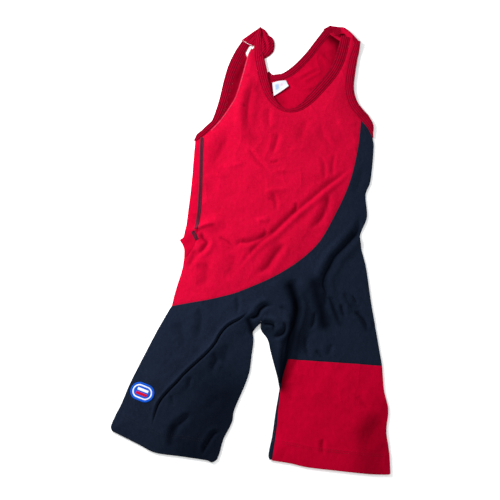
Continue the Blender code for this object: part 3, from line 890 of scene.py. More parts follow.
@dataclass
class Panel:
    """A cut panel of cloth, with edges that may turn round to the other layer."""

    name: str
    node: str
    slot: str
    layer: Layer
    outline: Outline
    form: Form
    finish: bpy.types.Material
    cell: float
    turned: Sequence[str] = ()
    wraps: dict[str, np.ndarray] = field(default_factory=dict)
    hems: Sequence[str] = ()
    rests_on: Sequence[str] = ()
    turn_steps: int = 8
    widest_turn: float = 2.3
    hem_radius: float = 0.7
    hem_return: float = 5.0

    def height(self, points: np.ndarray) -> np.ndarray:
        """The height of the panel's own layer at each place."""
        return self.form.front(points) if self.layer is Layer.FRONT else self.form.back(points)

    def shade(self, points: np.ndarray) -> np.ndarray:
        """How strongly painted shade darkens each place of the panel."""
        return self.form.front_shade(points) if self.layer is Layer.FRONT else self.form.back_shade(points)

    def steep(self) -> list[tuple[np.ndarray, float]]:
        """The lines of the front layer's steep creases, with how far each reaches to either side."""
        if self.layer is Layer.BACK:
            return []
        steep = [crease for crease in FRONT_CREASES if abs(crease.depth) > STEEP * crease.width]
        return [(smooth_line(crease.path, 4.0), crease.width + 2.0) for crease in steep]

    def other_height(self, points: np.ndarray) -> np.ndarray:
        """The height of the other layer at each place."""
        return np.full(len(points), BACK_LEVEL) if self.layer is Layer.FRONT else self.form.front(points)

    def build(self) -> bpy.types.Object:
        rim = self.outline.closed()
        plan, triangles, where = fill(rim, self.cell, self.steep())
        surface = Surface()
        surface.add(np.column_stack((plan, self.height(plan))), shade=self.shade(plan))
        for triangle in triangles:
            surface.face(triangle)
        extra = 0.0
        for name in (*self.turned, *self.wraps):
            numbers = [where[n] for n in self.outline.stretches[name]]
            extra += self.turn(surface, plan[numbers], numbers, self.wraps.get(name))
        for name in self.hems:
            numbers = [where[n] for n in self.outline.stretches[name]]
            self.turn_hem(surface, plan[numbers], numbers)
        thing = surface.build(self.name, [self.finish], PANEL_WALL)
        size = plan.max(0) - plan.min(0)
        flat = (float(size[0]) * MM, float(size[1]) * MM)
        cut = min(0.999 * flat[0] * flat[1], (area_of(rim) + extra) * MM * MM)
        return declare(thing, self.slot, self.node, flat=flat, area=cut, rests_on=self.rests_on)

    def turn(
        self, surface: Surface, spots: np.ndarray, numbers: list[int], seam: np.ndarray | None,
    ) -> float:
        """Turns an edge round to the other layer, and on to a seam's line where one is given.

        Args:
            surface: The panel's mesh so far.
            spots: The edge's places in plan.
            numbers: The edge's points in the mesh.
            seam: The line where the wrapped cloth ends, or None for a turn alone.

        Returns:
            The area that this adds, in square millimetres.
        """
        outward = -normals_of(spots)
        own, other = self.height(spots), self.other_height(spots)
        middle, radius = (own + other) / 2, (own - other) / 2
        bulge = np.minimum(np.abs(radius), self.widest_turn)[:, None]
        shade = self.shade(spots)
        row = np.array(numbers)
        for step in range(1, self.turn_steps + 1):
            angle = math.pi * step / self.turn_steps
            place = spots + outward * bulge * math.sin(angle)
            added = surface.add(np.column_stack((place, middle + radius * math.cos(angle))), shade=shade)
            surface.strip(row, added)
            row = added
        area = float(np.mean(np.abs(radius))) * math.pi * length_of(spots)
        if seam is not None:
            target = at_shares(seam, shares_of(spots))
            width = float(np.mean(np.hypot(*(target - spots).T)))
            steps = max(3, round(width / FRONT_CELL))
            for step in range(1, steps + 1):
                place = spots + (target - spots) * step / steps
                added = surface.add(np.column_stack((place, self.other_height(place))))
                surface.strip(row, added)
                row = added
            area += width * length_of(spots)
        return area

    def turn_hem(self, surface: Surface, spots: np.ndarray, numbers: list[int]) -> None:
        """Turns a hem's edge under itself, as a folded hem is.

        Args:
            surface: The panel's mesh so far.
            spots: The edge's places in plan.
            numbers: The edge's points in the mesh.
        """
        outward = -normals_of(spots)
        top = self.height(spots)
        row = np.array(numbers)
        radius = self.hem_radius
        rows = [(radius * math.sin(a), radius * math.cos(a) - radius) for a in (0.8, 1.57, 2.35, 3.14)]
        rows.append((-self.hem_return, -2 * radius))
        for reach, drop in rows:
            place = spots + outward * reach
            added = surface.add(np.column_stack((place, top + drop)), shade=self.shade(spots))
            surface.strip(row, added)
            row = added


# --- bindings ---------------------------------------------------------------------------------------------


@dataclass
class Binding:
    """A ribbed strip folded over an edge, from the seam where it is sewn out to its free edge."""

    name: str
    node: str
    seam: np.ndarray
    widths: np.ndarray
    height: HeightOf
    finish: bpy.types.Material
    wall: float = BINDING_WALL
    groove: float = 0.4
    groove_place: float = 2.4
    # Painted shade that darkens the whole strip's colour evenly.
    shade: float = 0.0
    rests_on: Sequence[str] = ()

    def section(self, width: float) -> np.ndarray:
        """The strip's section, once round, as (distance from the seam, height above its middle)."""
        half = self.wall / 2
        pinch = min(1.0, width / 12.0)
        groove = self.groove * pinch
        near = [
            (0.0, -0.25 * half), (0.35, 0.45 * half), (1.1, 0.9 * half), (self.groove_place, half - groove),
            (self.groove_place + 1.3, half),
        ]
        far = [(width - out, up) for out, up in reversed(near)]
        near = [(out * pinch, up) for out, up in near]
        far = [(width - (width - out) * pinch, up) for out, up in far]
        crown = [(width / 2, half + 0.12)]
        under = [(width - 0.5 * pinch, -0.8 * half), (width - 1.6 * pinch, -half), (1.6 * pinch, -half)]
        return np.array(near + crown + far + under + [(0.5 * pinch, -0.8 * half)])

    def build(self) -> bpy.types.Object:
        seam, outward = self.seam, -normals_of(self.seam)
        along = np.concatenate(([0], np.cumsum(np.hypot(*np.diff(seam, axis=0).T))))
        sections = np.array([self.section(width) for width in self.widths])
        count = sections.shape[1]
        plan = seam[:, None, :] + outward[:, None, :] * (sections[:, :, :1] + SEAM_HALF_GAP)
        heights = self.height(plan.reshape(-1, 2)).reshape(len(seam), count)
        middle = self.height(seam + outward * self.widths[:, None] / 2)
        heights = 0.7 * heights + 0.3 * middle[:, None] + sections[:, :, 1]
        surface = Surface()
        points = np.dstack((plan, heights)).reshape(-1, 3)
        places = np.dstack((sections[:, :, 0], np.repeat(along[:, None], count, axis=1))).reshape(-1, 2)
        numbers = surface.add(points, places, np.full(len(points), self.shade)).reshape(len(seam), count)
        for row, following in zip(numbers, numbers[1:]):
            surface.strip(row, following, closed=True)
        surface.face(numbers[0])
        surface.face(numbers[-1][::-1])
        thing = surface.build(self.name, [self.finish])
        width, length = float(np.mean(self.widths)), float(along[-1])
        flat = (width * MM, length * MM) if width > LEAST_SHEET_WIDTH else None
        return declare(thing, "binding_red", self.node, flat=flat, rests_on=self.rests_on)

    def along(self, share: float = 0.0, inset: float = 2.4) -> np.ndarray:
        """A line along the strip, some way in from its seam (share 0) or its free edge (share 1)."""
        outward = -normals_of(self.seam)
        pinch = np.minimum(1.0, self.widths / 12.0)
        out = inset * pinch if share == 0.0 else self.widths - inset * pinch
        return self.seam + outward * out[:, None]

    def top(self, points: np.ndarray) -> np.ndarray:
        """The height of the strip's upper side at each place along it."""
        return self.height(points) + self.wall / 2


# --- stitching --------------------------------------------------------------------------------------------


@dataclass
class Stitching:
    """Runs of thread, joined in one mesh: each stitch is a short bar whose ends dip into the cloth."""

    name: str
    slot: str
    finish: bpy.types.Material
    radius: float = 0.32
    sides: int = 6
    surface: Surface = field(default_factory=Surface)

    RINGS = ((-0.5, 0.35, -1.0), (-0.3, 0.95, 0.1), (0.0, 1.0, 0.35), (0.3, 0.95, 0.1), (0.5, 0.35, -1.0))

    def stitch(self, start: np.ndarray, end: np.ndarray) -> None:
        """Adds one stitch between two places in space."""
        way = end - start
        side = unit(np.array([[way[1], -way[0], 0.0]]))[0]
        up = np.array((0.0, 0.0, 1.0))
        middle = (start + end) / 2
        rows = []
        for along, share, lift in self.RINGS:
            centre = middle + way * along + up * lift * self.radius
            angles = np.arange(self.sides) * 2 * np.pi / self.sides
            ring = np.outer(np.cos(angles), side) + np.outer(np.sin(angles), up)
            rows.append(self.surface.add(centre + ring * self.radius * share))
        for row, following in zip(rows, rows[1:]):
            self.surface.strip(row, following, closed=True)
        self.surface.face(rows[0][::-1])
        self.surface.face(rows[-1])

    def run(self, plan: np.ndarray, top: HeightOf, length: float = 2.6, gap: float = 0.9) -> None:
        """Adds a run of stitches along a line in plan.

        Args:
            plan: The line.
            top: Gives the height of the cloth's upper side.
            length: A stitch's length.
            gap: The space between stitches.
        """
        count = max(1, int(length_of(plan) // (length + gap)))
        total = length_of(plan)
        starts = np.arange(count) * (length + gap)
        ends = starts + length
        a, b = at_shares(plan, starts / total), at_shares(plan, ends / total)
        for start, end, low, high in zip(a, b, top(a), top(b)):
            self.stitch(np.append(start, low), np.append(end, high))

    def ladder(self, plan: np.ndarray, top: HeightOf, width: float, pitch: float, slant: float) -> None:
        """Adds threads that cross a line from side to side, as an overlocked seam's do.

        Args:
            plan: The line.
            top: Gives the height of the cloth's upper side.
            width: How far each thread reaches across the line.
            pitch: The spacing of the threads.
            slant: How far a thread runs along the line as it crosses it.
        """
        line = evenly(plan, pitch)
        normals = normals_of(line)
        ways = np.column_stack((-normals[:, 1], normals[:, 0]))
        a = line - normals * width / 2 - ways * slant / 2
        b = line + normals * width / 2 + ways * slant / 2
        for start, end, low, high in zip(a, b, top(a), top(b)):
            self.stitch(np.append(start, low), np.append(end, high))

    def build(self) -> bpy.types.Object:
        return declare(self.surface.build(self.name, [self.finish]), self.slot)


@dataclass
class SeamTape:
    """The flat overlocked seam down the wearer's right side: a raised tape that dark threads cross."""

    form: Form
    lines: tuple[Rows, ...] = (
        ((-95, 182), (-96, 150), (-96, 110), (-96, 73), (-97, 38), (-99, 12), (-102, -9)),
        ((-108.5, -13), (-104.5, -20), (-100, -29)),
    )
    width: float = 7.6
    thickness: float = 0.7

    def top(self, points: np.ndarray) -> np.ndarray:
        """The height of the tape's upper side."""
        return self.form.front(points) + PANEL_WALL / 2 + self.thickness * 0.55

    def build(self, tape: bpy.types.Material, thread: bpy.types.Material) -> None:
        """Lofts the tape and lays its threads."""
        surface = Surface()
        half, high = self.width / 2, self.thickness
        section = np.array((
            (-half, -0.5), (-half + 0.3, 0.35 * high), (-half + 1.1, high), (-half + 2.2, 0.75 * high),
            (0.0, 0.95 * high), (half - 2.2, 0.75 * high), (half - 1.1, high), (half - 0.3, 0.35 * high),
            (half, -0.5),
        ))
        stitches = Stitching("side_seam_threads", "cloth_navy", thread, radius=0.24)
        for rows in self.lines:
            line = evenly(smooth_line(rows), LINE_STEP)
            normals = normals_of(line)
            run = shares_of(line) * length_of(line)
            previous = None
            for spot, normal, along in zip(line, normals, run):
                plan = spot + section[:, :1] * normal
                base = self.form.front(plan) + PANEL_WALL / 2
                places = np.column_stack((section[:, 0], np.full(len(section), along)))
                numbers = surface.add(np.column_stack((plan, base + section[:, 1])), places)
                if previous is not None:
                    surface.strip(previous, numbers, closed=True)
                else:
                    surface.face(numbers)
                previous = numbers
            surface.face(previous[::-1])
            stitches.ladder(line, self.top, self.width - 1.0, 1.5, 1.1)
            for side in (-1.25, 0.0, 1.25):
                stitches.run(shifted(line, side * 2.2), self.top, 2.2, 0.5)
        declare(surface.build("side_seam_tape", [tape]), "cloth_navy")
        stitches.build()


# --- straps -----------------------------------------------------------------------------------------------


@dataclass
class ShoulderTurn:
    """The wearer's left strap where it turns over the shoulder, from the back layer to the front one."""

    form: Form
    rows: tuple[tuple[float, ...], ...] = (
        (153, 433, 163, 439, 4.5, 170, 415),
        (166, 421, 176, 434, 8.5, 187, 420),
        (178, 411, 192, 431, 10.0, 196, 413),
        (189, 402, 206, 417, 10.0, 205, 407),
        (199, 392, 218, 402, 8.0, 217, 396),
    )
    across_steps: int = 40
    along_steps: int = 34
    over_back: float = 2.6
    back_lap: float = 4.5
    front_lap: float = 5.0
    under_front: float = 1.8

    def section(self, row: tuple[float, ...]) -> np.ndarray:
        """One section of the turn, from the back to the front, as points in space."""
        crest = np.array((row[2], row[3], 0.55 * row[4] + BACK_LEVEL))
        back, front = np.array((row[0], row[1], self.over_back)), np.array((row[5], row[6], 0.0))
        for end, reach in ((back, self.back_lap), (front, self.front_lap)):
            end[:2] += unit((end - crest)[None, :2])[0] * reach
        front[2] = float(self.form.front(front[None, :2])[0]) - self.under_front
        under = back * 0.3 + crest * 0.7
        under[2] = self.over_back
        over = front * 0.3 + crest * 0.7
        over[2] = max(row[4], front[2] + 0.8)
        return np.array((back, under, crest, over, front))

    def build(self, finishes: Sequence[bpy.types.Material]) -> bpy.types.Object:
        sections = np.array([self.section(row) for row in self.rows])
        along = np.linspace(0, 1, self.along_steps + 1)
        across = np.linspace(0, 1, self.across_steps + 1)
        fine = np.array([at_shares(smooth_line(tuple(map(tuple, s)), 1.0), along) for s in sections])
        threads = [smooth_line(tuple(map(tuple, fine[:, k])), 1.0) for k in range(len(along))]
        columns = [at_shares(thread, across) for thread in threads]
        grid = np.array(columns)
        width = float(np.mean(np.linalg.norm(np.diff(grid, axis=1), axis=2).sum(1)))
        reach = float(np.mean(np.linalg.norm(np.diff(grid, axis=0), axis=2).sum(0)))
        surface = Surface()
        numbers = []
        for share, column in zip(along, grid):
            places = np.column_stack((across * width, np.full(len(across), share * reach)))
            numbers.append(surface.add(column, places))
        edge = 0.27
        for row, following in zip(numbers, numbers[1:]):
            for i in range(self.across_steps):
                bound = not edge < across[i] < 1 - edge
                surface.face((row[i], row[i + 1], following[i + 1], following[i]), 0 if bound else 1)
        thing = surface.build("shoulder_turn", finishes, PANEL_WALL)
        area = width * reach * MM * MM
        return declare(
            thing, "binding_red", "strap_turn_right", flat=(width * MM, reach * MM),
            area=TURN_CUT_SHARE * area, rests_on=["red_back_panel"],
        )


@dataclass
class StrapEnd:
    """A piece of the wearer's right strap where it is twisted behind the front strap: a low puffed fold."""

    name: str
    node: str
    rows: Rows
    form: Form
    finish: bpy.types.Material
    height: float
    reach: float
    lean: tuple[float, float]
    creases: tuple[Crease, ...] = ()
    cell: float = 1.4
    lowest: float = 0.75

    def rise(self, points: np.ndarray, rim: np.ndarray) -> np.ndarray:
        """The height of the middle of the fold's wall at each place."""
        from_edge = nearest(points, np.vstack((rim, rim[:1]))).distance
        middle = rim.mean(0)
        tilt = (points - middle) @ np.array(self.lean)
        rise = (self.height + tilt) * np.sqrt(1 - (1 - np.clip(from_edge / self.reach, 0, 1)) ** 2)
        for crease in self.creases:
            rise += crease.rise(points)
        edge = self.form.plan.edge("neck_front_left")
        strap = np.hypot(*(points - edge[:, None]).transpose(2, 0, 1)).min(0)
        under_strap = ease((9.0 - strap) / 5.0)
        limit = self.form.front_binding(points) - BINDING_WALL - 0.2
        rise = self.lowest + np.maximum(rise, 0)
        return rise * (1 - under_strap) + np.minimum(rise, np.maximum(limit, self.lowest)) * under_strap

    def build(self) -> bpy.types.Object:
        outline = Outline().add("rim", smooth_line(self.rows, self.cell))
        rim = outline.closed(0.3)
        plan, triangles, _ = fill(rim, self.cell)
        surface = Surface()
        surface.add(np.column_stack((plan, self.rise(plan, rim))))
        for triangle in triangles:
            surface.face(triangle)
        thing = surface.build(self.name, [self.finish], PANEL_WALL)
        size = (plan.max(0) - plan.min(0)) * MM
        cut = area_of(rim) * MM * MM
        return declare(thing, "binding_red", self.node, flat=(float(size[0]), float(size[1])), area=cut)


# --- trim -------------------------------------------------------------------------------------------------


@dataclass
class Patch:
    """The embroidered patch on the leg: a rim, a pale ring, a blue field and a generic two-bar motif."""

    form: Form
    centre: tuple[float, float] = (-187.8, -306.5)
    turn: float = -21.0
    length: float = 42.6
    width: float = 30.6
    thickness: float = 1.0
    rim: float = 2.6
    margin: float = 1.1
    ring: float = 2.3
    bar_length: float = 20.0
    bar_width: float = 4.6
    bar_offset: float = 3.5

    def start(self) -> bpy.types.Object:
        """Adds a disc and draws its halves apart, so that it becomes a plan with round ends."""
        bpy.ops.object.select_all(action="DESELECT")
        radius = self.width / 2 * MM
        bpy.ops.mesh.primitive_circle_add(vertices=64, radius=radius, fill_type="NGON")
        thing = bpy.context.active_object
        thing.name = thing.data.name = "leg_badge"
        shift = (self.length - self.width) / 2 * MM
        bpy.ops.object.mode_set(mode="EDIT")
        for sign in (-1, 1):
            self.select(thing, lambda co: co.x * sign > 1e-6)
            bpy.ops.transform.translate(value=(sign * shift, 0, 0))
        bpy.ops.mesh.select_all(action="SELECT")
        return thing

    def select(self, thing: bpy.types.Object, choose: Callable[[Vector], bool]) -> None:
        """Selects the vertices whose places are chosen."""
        working = bmesh.from_edit_mesh(thing.data)
        for vertex in working.verts:
            vertex.select = choose(vertex.co)
        working.select_flush(True)
        working.select_flush(False)
        bmesh.update_edit_mesh(thing.data)

    def build(self, finishes: Sequence[bpy.types.Material]) -> None:
        """Args:
            finishes: Blue, white and red embroidery.
        """
        thing = self.start()
        for finish in finishes:
            thing.data.materials.append(finish)
        bpy.ops.mesh.extrude_region_move(TRANSFORM_OT_translate={"value": (0, 0, self.thickness * MM)})
        steps = (
            (0.8, 0.55, 0), (self.rim - 1.6, 0.0, 0), (0.8, -0.6, 0), (self.margin, 0.0, 0),
            (0.5, 0.45, 1), (self.ring - 1.0, 0.0, 1), (0.5, -0.45, 1), (1.2, 0.12, 0),
        )
        for inset, lift, slot in steps:
            bpy.ops.mesh.inset(thickness=inset * MM, depth=lift * MM, use_outset=False)
            self.slot_ring(thing, slot)
        bpy.ops.mesh.select_all(action="SELECT")
        bpy.ops.mesh.normals_make_consistent(inside=False)
        bpy.ops.object.mode_set(mode="OBJECT")
        self.refine(thing)
        self.lay(thing, 0.0)
        declare(thing, "patch_blue", "leg_patch")
        bars = (("leg_badge_bar_upper", 1, finishes[1]), ("leg_badge_bar_lower", -1, finishes[2]))
        for name, sign, finish in bars:
            bar = self.bar(name, sign, finish)
            self.lay(bar, self.thickness)
            declare(bar, "patch_blue")

    def slot_ring(self, thing: bpy.types.Object, slot: int) -> None:
        """Gives the faces of the newest ring, those round the selected one, a material slot."""
        working = bmesh.from_edit_mesh(thing.data)
        middle = [f for f in working.faces if f.select]
        for face in middle:
            for edge in face.edges:
                for other in edge.link_faces:
                    if not other.select:
                        other.material_index = slot
        bmesh.update_edit_mesh(thing.data)

    def refine(self, thing: bpy.types.Object) -> None:
        """Cuts the piece finely enough to follow the cloth, and rounds its ridges."""
        select_only(thing)
        bpy.ops.object.mode_set(mode="EDIT")
        bpy.ops.mesh.select_all(action="SELECT")
        for axis, reach in ((0, self.length), (1, self.width)):
            normal = (1.0, 0.0, 0.0) if axis == 0 else (0.0, 1.0, 0.0)
            for place in np.arange(-reach / 2 + 2.0, reach / 2, 2.0):
                spot = tuple(float(place) * MM * n for n in normal)
                bpy.ops.mesh.select_all(action="SELECT")
                bpy.ops.mesh.bisect(plane_co=spot, plane_no=normal, threshold=1e-7)
        bpy.ops.object.mode_set(mode="OBJECT")
        thing.data.shade_smooth()
        thing.data.set_sharp_from_angle(angle=math.radians(50))

    def bar(self, name: str, sign: int, finish: bpy.types.Material) -> bpy.types.Object:
        """Models one satin-stitched bar of the motif, which runs along the badge."""
        bpy.ops.object.select_all(action="DESELECT")
        bpy.ops.mesh.primitive_cube_add(size=MM)
        thing = bpy.context.active_object
        thing.name = thing.data.name = name
        bpy.ops.object.mode_set(mode="EDIT")
        bpy.ops.mesh.select_all(action="SELECT")
        bpy.ops.transform.resize(value=(self.bar_length, self.bar_width, 1.1))
        bpy.ops.transform.translate(value=(0, sign * self.bar_offset * MM, 0))
        bpy.ops.mesh.bevel(offset=0.45 * MM, segments=3, affect="EDGES")
        bpy.ops.object.mode_set(mode="OBJECT")
        thing.data.materials.append(finish)
        self.refine(thing)
        return thing

    def lay(self, thing: bpy.types.Object, lift: float) -> None:
        """Turns a piece, moves it to the patch's place and lays it on the cloth."""
        points = np.array([v.co for v in thing.data.vertices]) / MM
        angle = math.radians(self.turn)
        cos, sin = math.cos(angle), math.sin(angle)
        turned = points[:, :2] @ np.array(((cos, sin), (-sin, cos)))
        plan = turned + np.array(self.centre)
        top = self.form.front(plan) + PANEL_WALL / 2
        placed = np.column_stack((plan, top + points[:, 2] + lift)) * MM
        thing.data.vertices.foreach_set("co", placed.ravel())
        layers = thing.data.uv_layers
        pattern = layers[0] if layers else layers.new(name="pattern")
        corners = np.zeros(len(thing.data.loops), int)
        thing.data.loops.foreach_get("vertex_index", corners)
        pattern.data.foreach_set("uv", (points[:, :2] * MM)[corners].astype(np.float32).ravel())
        thing.data.update()


@dataclass
class NeckLabel:
    """The woven label inside the back of the neck, whose lower edge curls up."""

    form: Form
    corners: Rows = ((42.5, 305), (70, 310), (75, 296), (45, 274))
    steps: int = 24
    curl: float = 3.6
    thickness: float = 0.5
    flat: tuple[float, float] = (0.030, 0.028)
    area: float = 0.0006

    def build(self, finish: bpy.types.Material) -> bpy.types.Object:
        top_left, top_right, low_right, low_left = (np.array(c, float) for c in self.corners)
        surface = Surface()
        rows = []
        across = np.linspace(0, 1, self.steps + 1)[:, None]
        for down in np.linspace(0, 1, self.steps + 1):
            left = top_left + (low_left - top_left) * down
            right = top_right + (low_right - top_right) * down
            plan = left + (right - left) * across
            bow = np.sin(np.pi * across[:, 0])
            plan[:, 1] += 1.2 * bow * (1 - down) - 0.8 * bow * down
            rise = self.curl * down**3 * (0.45 + 0.55 * across[:, 0]) + 0.5 * bow * (1 - down)
            height = self.form.back(plan) + PANEL_WALL / 2 + LAYER_GAP + self.thickness / 2 + rise
            places = np.column_stack((across[:, 0], np.full(len(across), down))) / MM
            rows.append(surface.add(np.column_stack((plan, height)), places))
        for row, following in zip(rows, rows[1:]):
            surface.strip(row, following)
        thing = surface.build("neck_tag", [finish], self.thickness)
        return declare(
            thing, "label_white", "neck_label", flat=self.flat, area=self.area, rests_on=["red_back_panel"],
        )


# --- finishes ---------------------------------------------------------------------------------------------


@dataclass(frozen=True)
class Value:
    """A number in a material's nodes, on which arithmetic adds Math nodes."""

    nodes: "Nodes"
    socket: bpy.types.NodeSocket

    def math(self, operation: str, *others: "Value | float") -> "Value":
        """The result of one Math node on this value and others."""
        values = {0: self.socket, **{n + 1: nodes_input(o) for n, o in enumerate(others)}}
        maths = self.nodes.node("ShaderNodeMath", {"operation": operation}, values)
        return Value(self.nodes, maths.outputs[0])

    def __add__(self, other: "Value | float") -> "Value":
        """Adds."""
        return self.math("ADD", other)

    __radd__ = __add__

    def __mul__(self, other: "Value | float") -> "Value":
        """Multiplies."""
        return self.math("MULTIPLY", other)

    __rmul__ = __mul__

    def __sub__(self, other: "Value | float") -> "Value":
        """Subtracts."""
        return self.math("SUBTRACT", other)

    def __rsub__(self, other: float) -> "Value":
        """Subtracts this from a number."""
        return self * -1.0 + other

    def above(self, limit: float, softness: float) -> "Value":
        """0 below a limit and 1 above it, with a soft step between."""
        return ((self - (limit - softness)) * (0.5 / softness)).math("MINIMUM", 1.0).math("MAXIMUM", 0.0)

    def wave(self, pitch: float) -> "Value":
        """A sine of this value that repeats at a pitch."""
        return (self * (2 * math.pi / pitch)).math("SINE")

    def band(self, middle: float, half_width: float, softness: float) -> "Value":
        """1 within a distance of a middle, and 0 outside it."""
        return 1.0 - (self - middle).math("ABSOLUTE").above(half_width, softness)


def nodes_input(value: Any) -> Any:
    """What a socket takes for a value: the link of a Value, or the plain number or colour."""
    return value.socket if isinstance(value, Value) else value


class Nodes:
    """The nodes of one material."""

    def __init__(self, name: str, gloss: float = 0.0) -> None:
        """Makes a material with only a Principled shader and its output."""
        self.gloss = gloss
        self.material = bpy.data.materials.new(name)
        self.material.use_nodes = True
        self.tree = self.material.node_tree
        self.shader = self.tree.nodes["Principled BSDF"]

    def node(self, kind: str, settings: dict[str, Any], inputs: dict[int | str, Any]) -> bpy.types.Node:
        """Adds a node.

        Args:
            kind: Its type.
            settings: Its settings, which are made first.
            inputs: The values or links of its sockets.

        Returns:
            The node.
        """
        made = self.tree.nodes.new(kind)
        for name, value in settings.items():
            setattr(made, name, value)
        for socket, value in inputs.items():
            self.feed(made.inputs[socket], value)
        return made

    def feed(self, socket: bpy.types.NodeSocket, value: Any) -> None:
        """Gives a socket a value or a link."""
        value = nodes_input(value)
        if isinstance(value, bpy.types.NodeSocket):
            self.tree.links.new(value, socket)
        else:
            socket.default_value = value

    def object_place(self) -> bpy.types.NodeSocket:
        """The place on the object, in metres."""
        return self.node("ShaderNodeTexCoord", {}, {}).outputs["Object"]

    def pattern_place(self) -> bpy.types.NodeSocket:
        """The place on the cloth's own pattern."""
        return self.node("ShaderNodeTexCoord", {}, {}).outputs["UV"]

    def parts(self, vector: bpy.types.NodeSocket) -> tuple[Value, Value, Value]:
        """A vector's three numbers."""
        found = self.node("ShaderNodeSeparateXYZ", {}, {0: vector}).outputs
        return Value(self, found[0]), Value(self, found[1]), Value(self, found[2])

    def shade(self) -> Value:
        """How strongly painted shade darkens the cloth, from the mesh's shade attribute."""
        return Value(self, self.node("ShaderNodeAttribute", {"attribute_name": "shade"}, {}).outputs["Fac"])

    def stretched(
        self, vector: bpy.types.NodeSocket, scale: tuple[float, float, float],
    ) -> bpy.types.NodeSocket:
        """A vector scaled along its axes."""
        return self.node("ShaderNodeMapping", {}, {"Vector": vector, "Scale": scale}).outputs[0]

    def noise(self, vector: bpy.types.NodeSocket, scale: float, detail: float = 2.0) -> Value:
        """Smooth noise from 0 to 1."""
        made = self.node("ShaderNodeTexNoise", {}, {"Vector": vector, "Scale": scale, "Detail": detail})
        return Value(self, made.outputs["Fac"])

    def mixed(self, share: Any, first: Any, second: Any) -> bpy.types.NodeSocket:
        """A colour between two colours."""
        settings = {"data_type": "RGBA", "blend_type": "MIX", "clamp_factor": True}
        return self.node("ShaderNodeMix", settings, {0: share, 6: first, 7: second}).outputs[2]

    def relief(self, height: Value, depth: float, under: Any = None) -> bpy.types.NodeSocket:
        """The normal of a relief of a depth in metres, over another relief where one is given."""
        inputs: dict[int | str, Any] = {"Height": height, "Distance": depth, "Strength": 1.0}
        if under is not None:
            inputs["Normal"] = under
        return self.node("ShaderNodeBump", {}, inputs).outputs[0]

    def finish(
        self, colour: Any, roughness: Any, normal: Any, sheen: float, tint: Colour,
    ) -> bpy.types.Material:
        """Feeds the shader and returns the material.

        Args:
            colour: The base colour.
            roughness: The roughness.
            normal: The relief's normal.
            sheen: The weight of the fibres' sheen.
            tint: The sheen's colour.
        """
        self.feed(self.shader.inputs["Base Color"], colour)
        self.feed(self.shader.inputs["Roughness"], roughness)
        self.feed(self.shader.inputs["Normal"], normal)
        self.shader.inputs["Metallic"].default_value = 0.0
        self.shader.inputs["Specular IOR Level"].default_value = self.gloss
        self.shader.inputs["Sheen Weight"].default_value = sheen
        self.shader.inputs["Sheen Roughness"].default_value = 0.45
        self.shader.inputs["Sheen Tint"].default_value = tint
        return self.material


@dataclass(frozen=True)
class KnitFinish:
    """Smooth stretch knit: fine wales along the garment, a mottled tone, fuzz and faint crumples, with
    painted shade from the mesh's shade attribute darkening its colour.
    """

    name: str
    colour: Colour
    deep: Colour
    fuzz: Colour
    sheen: float
    tint: Colour
    wale: float = 0.0011
    course: float = 0.0009
    wale_depth: float = 0.00012
    crumple_depth: float = 0.0006
    wrinkle_depth: float = 0.0011
    fuzz_share: float = 0.24

    def make(self) -> bpy.types.Material:
        """Makes the material."""
        nodes = Nodes(self.name)
        place = nodes.object_place()
        right, up, _ = nodes.parts(place)
        sway = nodes.noise(place, 60.0, 2.0) * 0.0012
        wales = (right + sway).wave(self.wale)
        courses = (up + sway).wave(self.course)
        mottle = nodes.noise(nodes.stretched(place, (1.0, 0.55, 1.0)), 210.0, 3.0)
        patches = nodes.noise(place, 17.0, 2.0)
        specks = nodes.noise(place, 1500.0, 1.0)
        tone = (mottle - 0.5) * 1.5 + (patches - 0.5) * 0.9 + wales * 0.06 + 0.42
        base = nodes.mixed(tone, self.colour, self.deep)
        base = nodes.mixed(specks.above(0.57, 0.12) * self.fuzz_share, base, self.fuzz)
        # Painted shade: the shade attribute mixes the colour toward a much darker copy of the deep colour.
        base = nodes.mixed(nodes.shade(), base, tuple(DEEPEST_SHADE * c for c in self.deep[:3]) + (1.0,))
        crumples = nodes.noise(nodes.stretched(place, (1.0, 0.5, 1.0)), 70.0, 3.0)
        folds = nodes.noise(nodes.stretched(place, (1.0, 0.6, 1.0)), 26.0, 1.0) - 0.5
        wrinkles = (folds.math("ABSOLUTE") * -9.0).math("EXPONENT")
        where = nodes.noise(place, 9.0, 0.0).above(0.50, 0.10)
        under = nodes.relief(crumples, self.crumple_depth, nodes.relief(wrinkles * where, self.wrinkle_depth))
        normal = nodes.relief(wales * 0.7 + courses * 0.45 + specks * 0.8, self.wale_depth, under)
        roughness = 0.66 + (mottle - 0.5) * 0.3
        return nodes.finish(base, roughness, normal, self.sheen, self.tint)


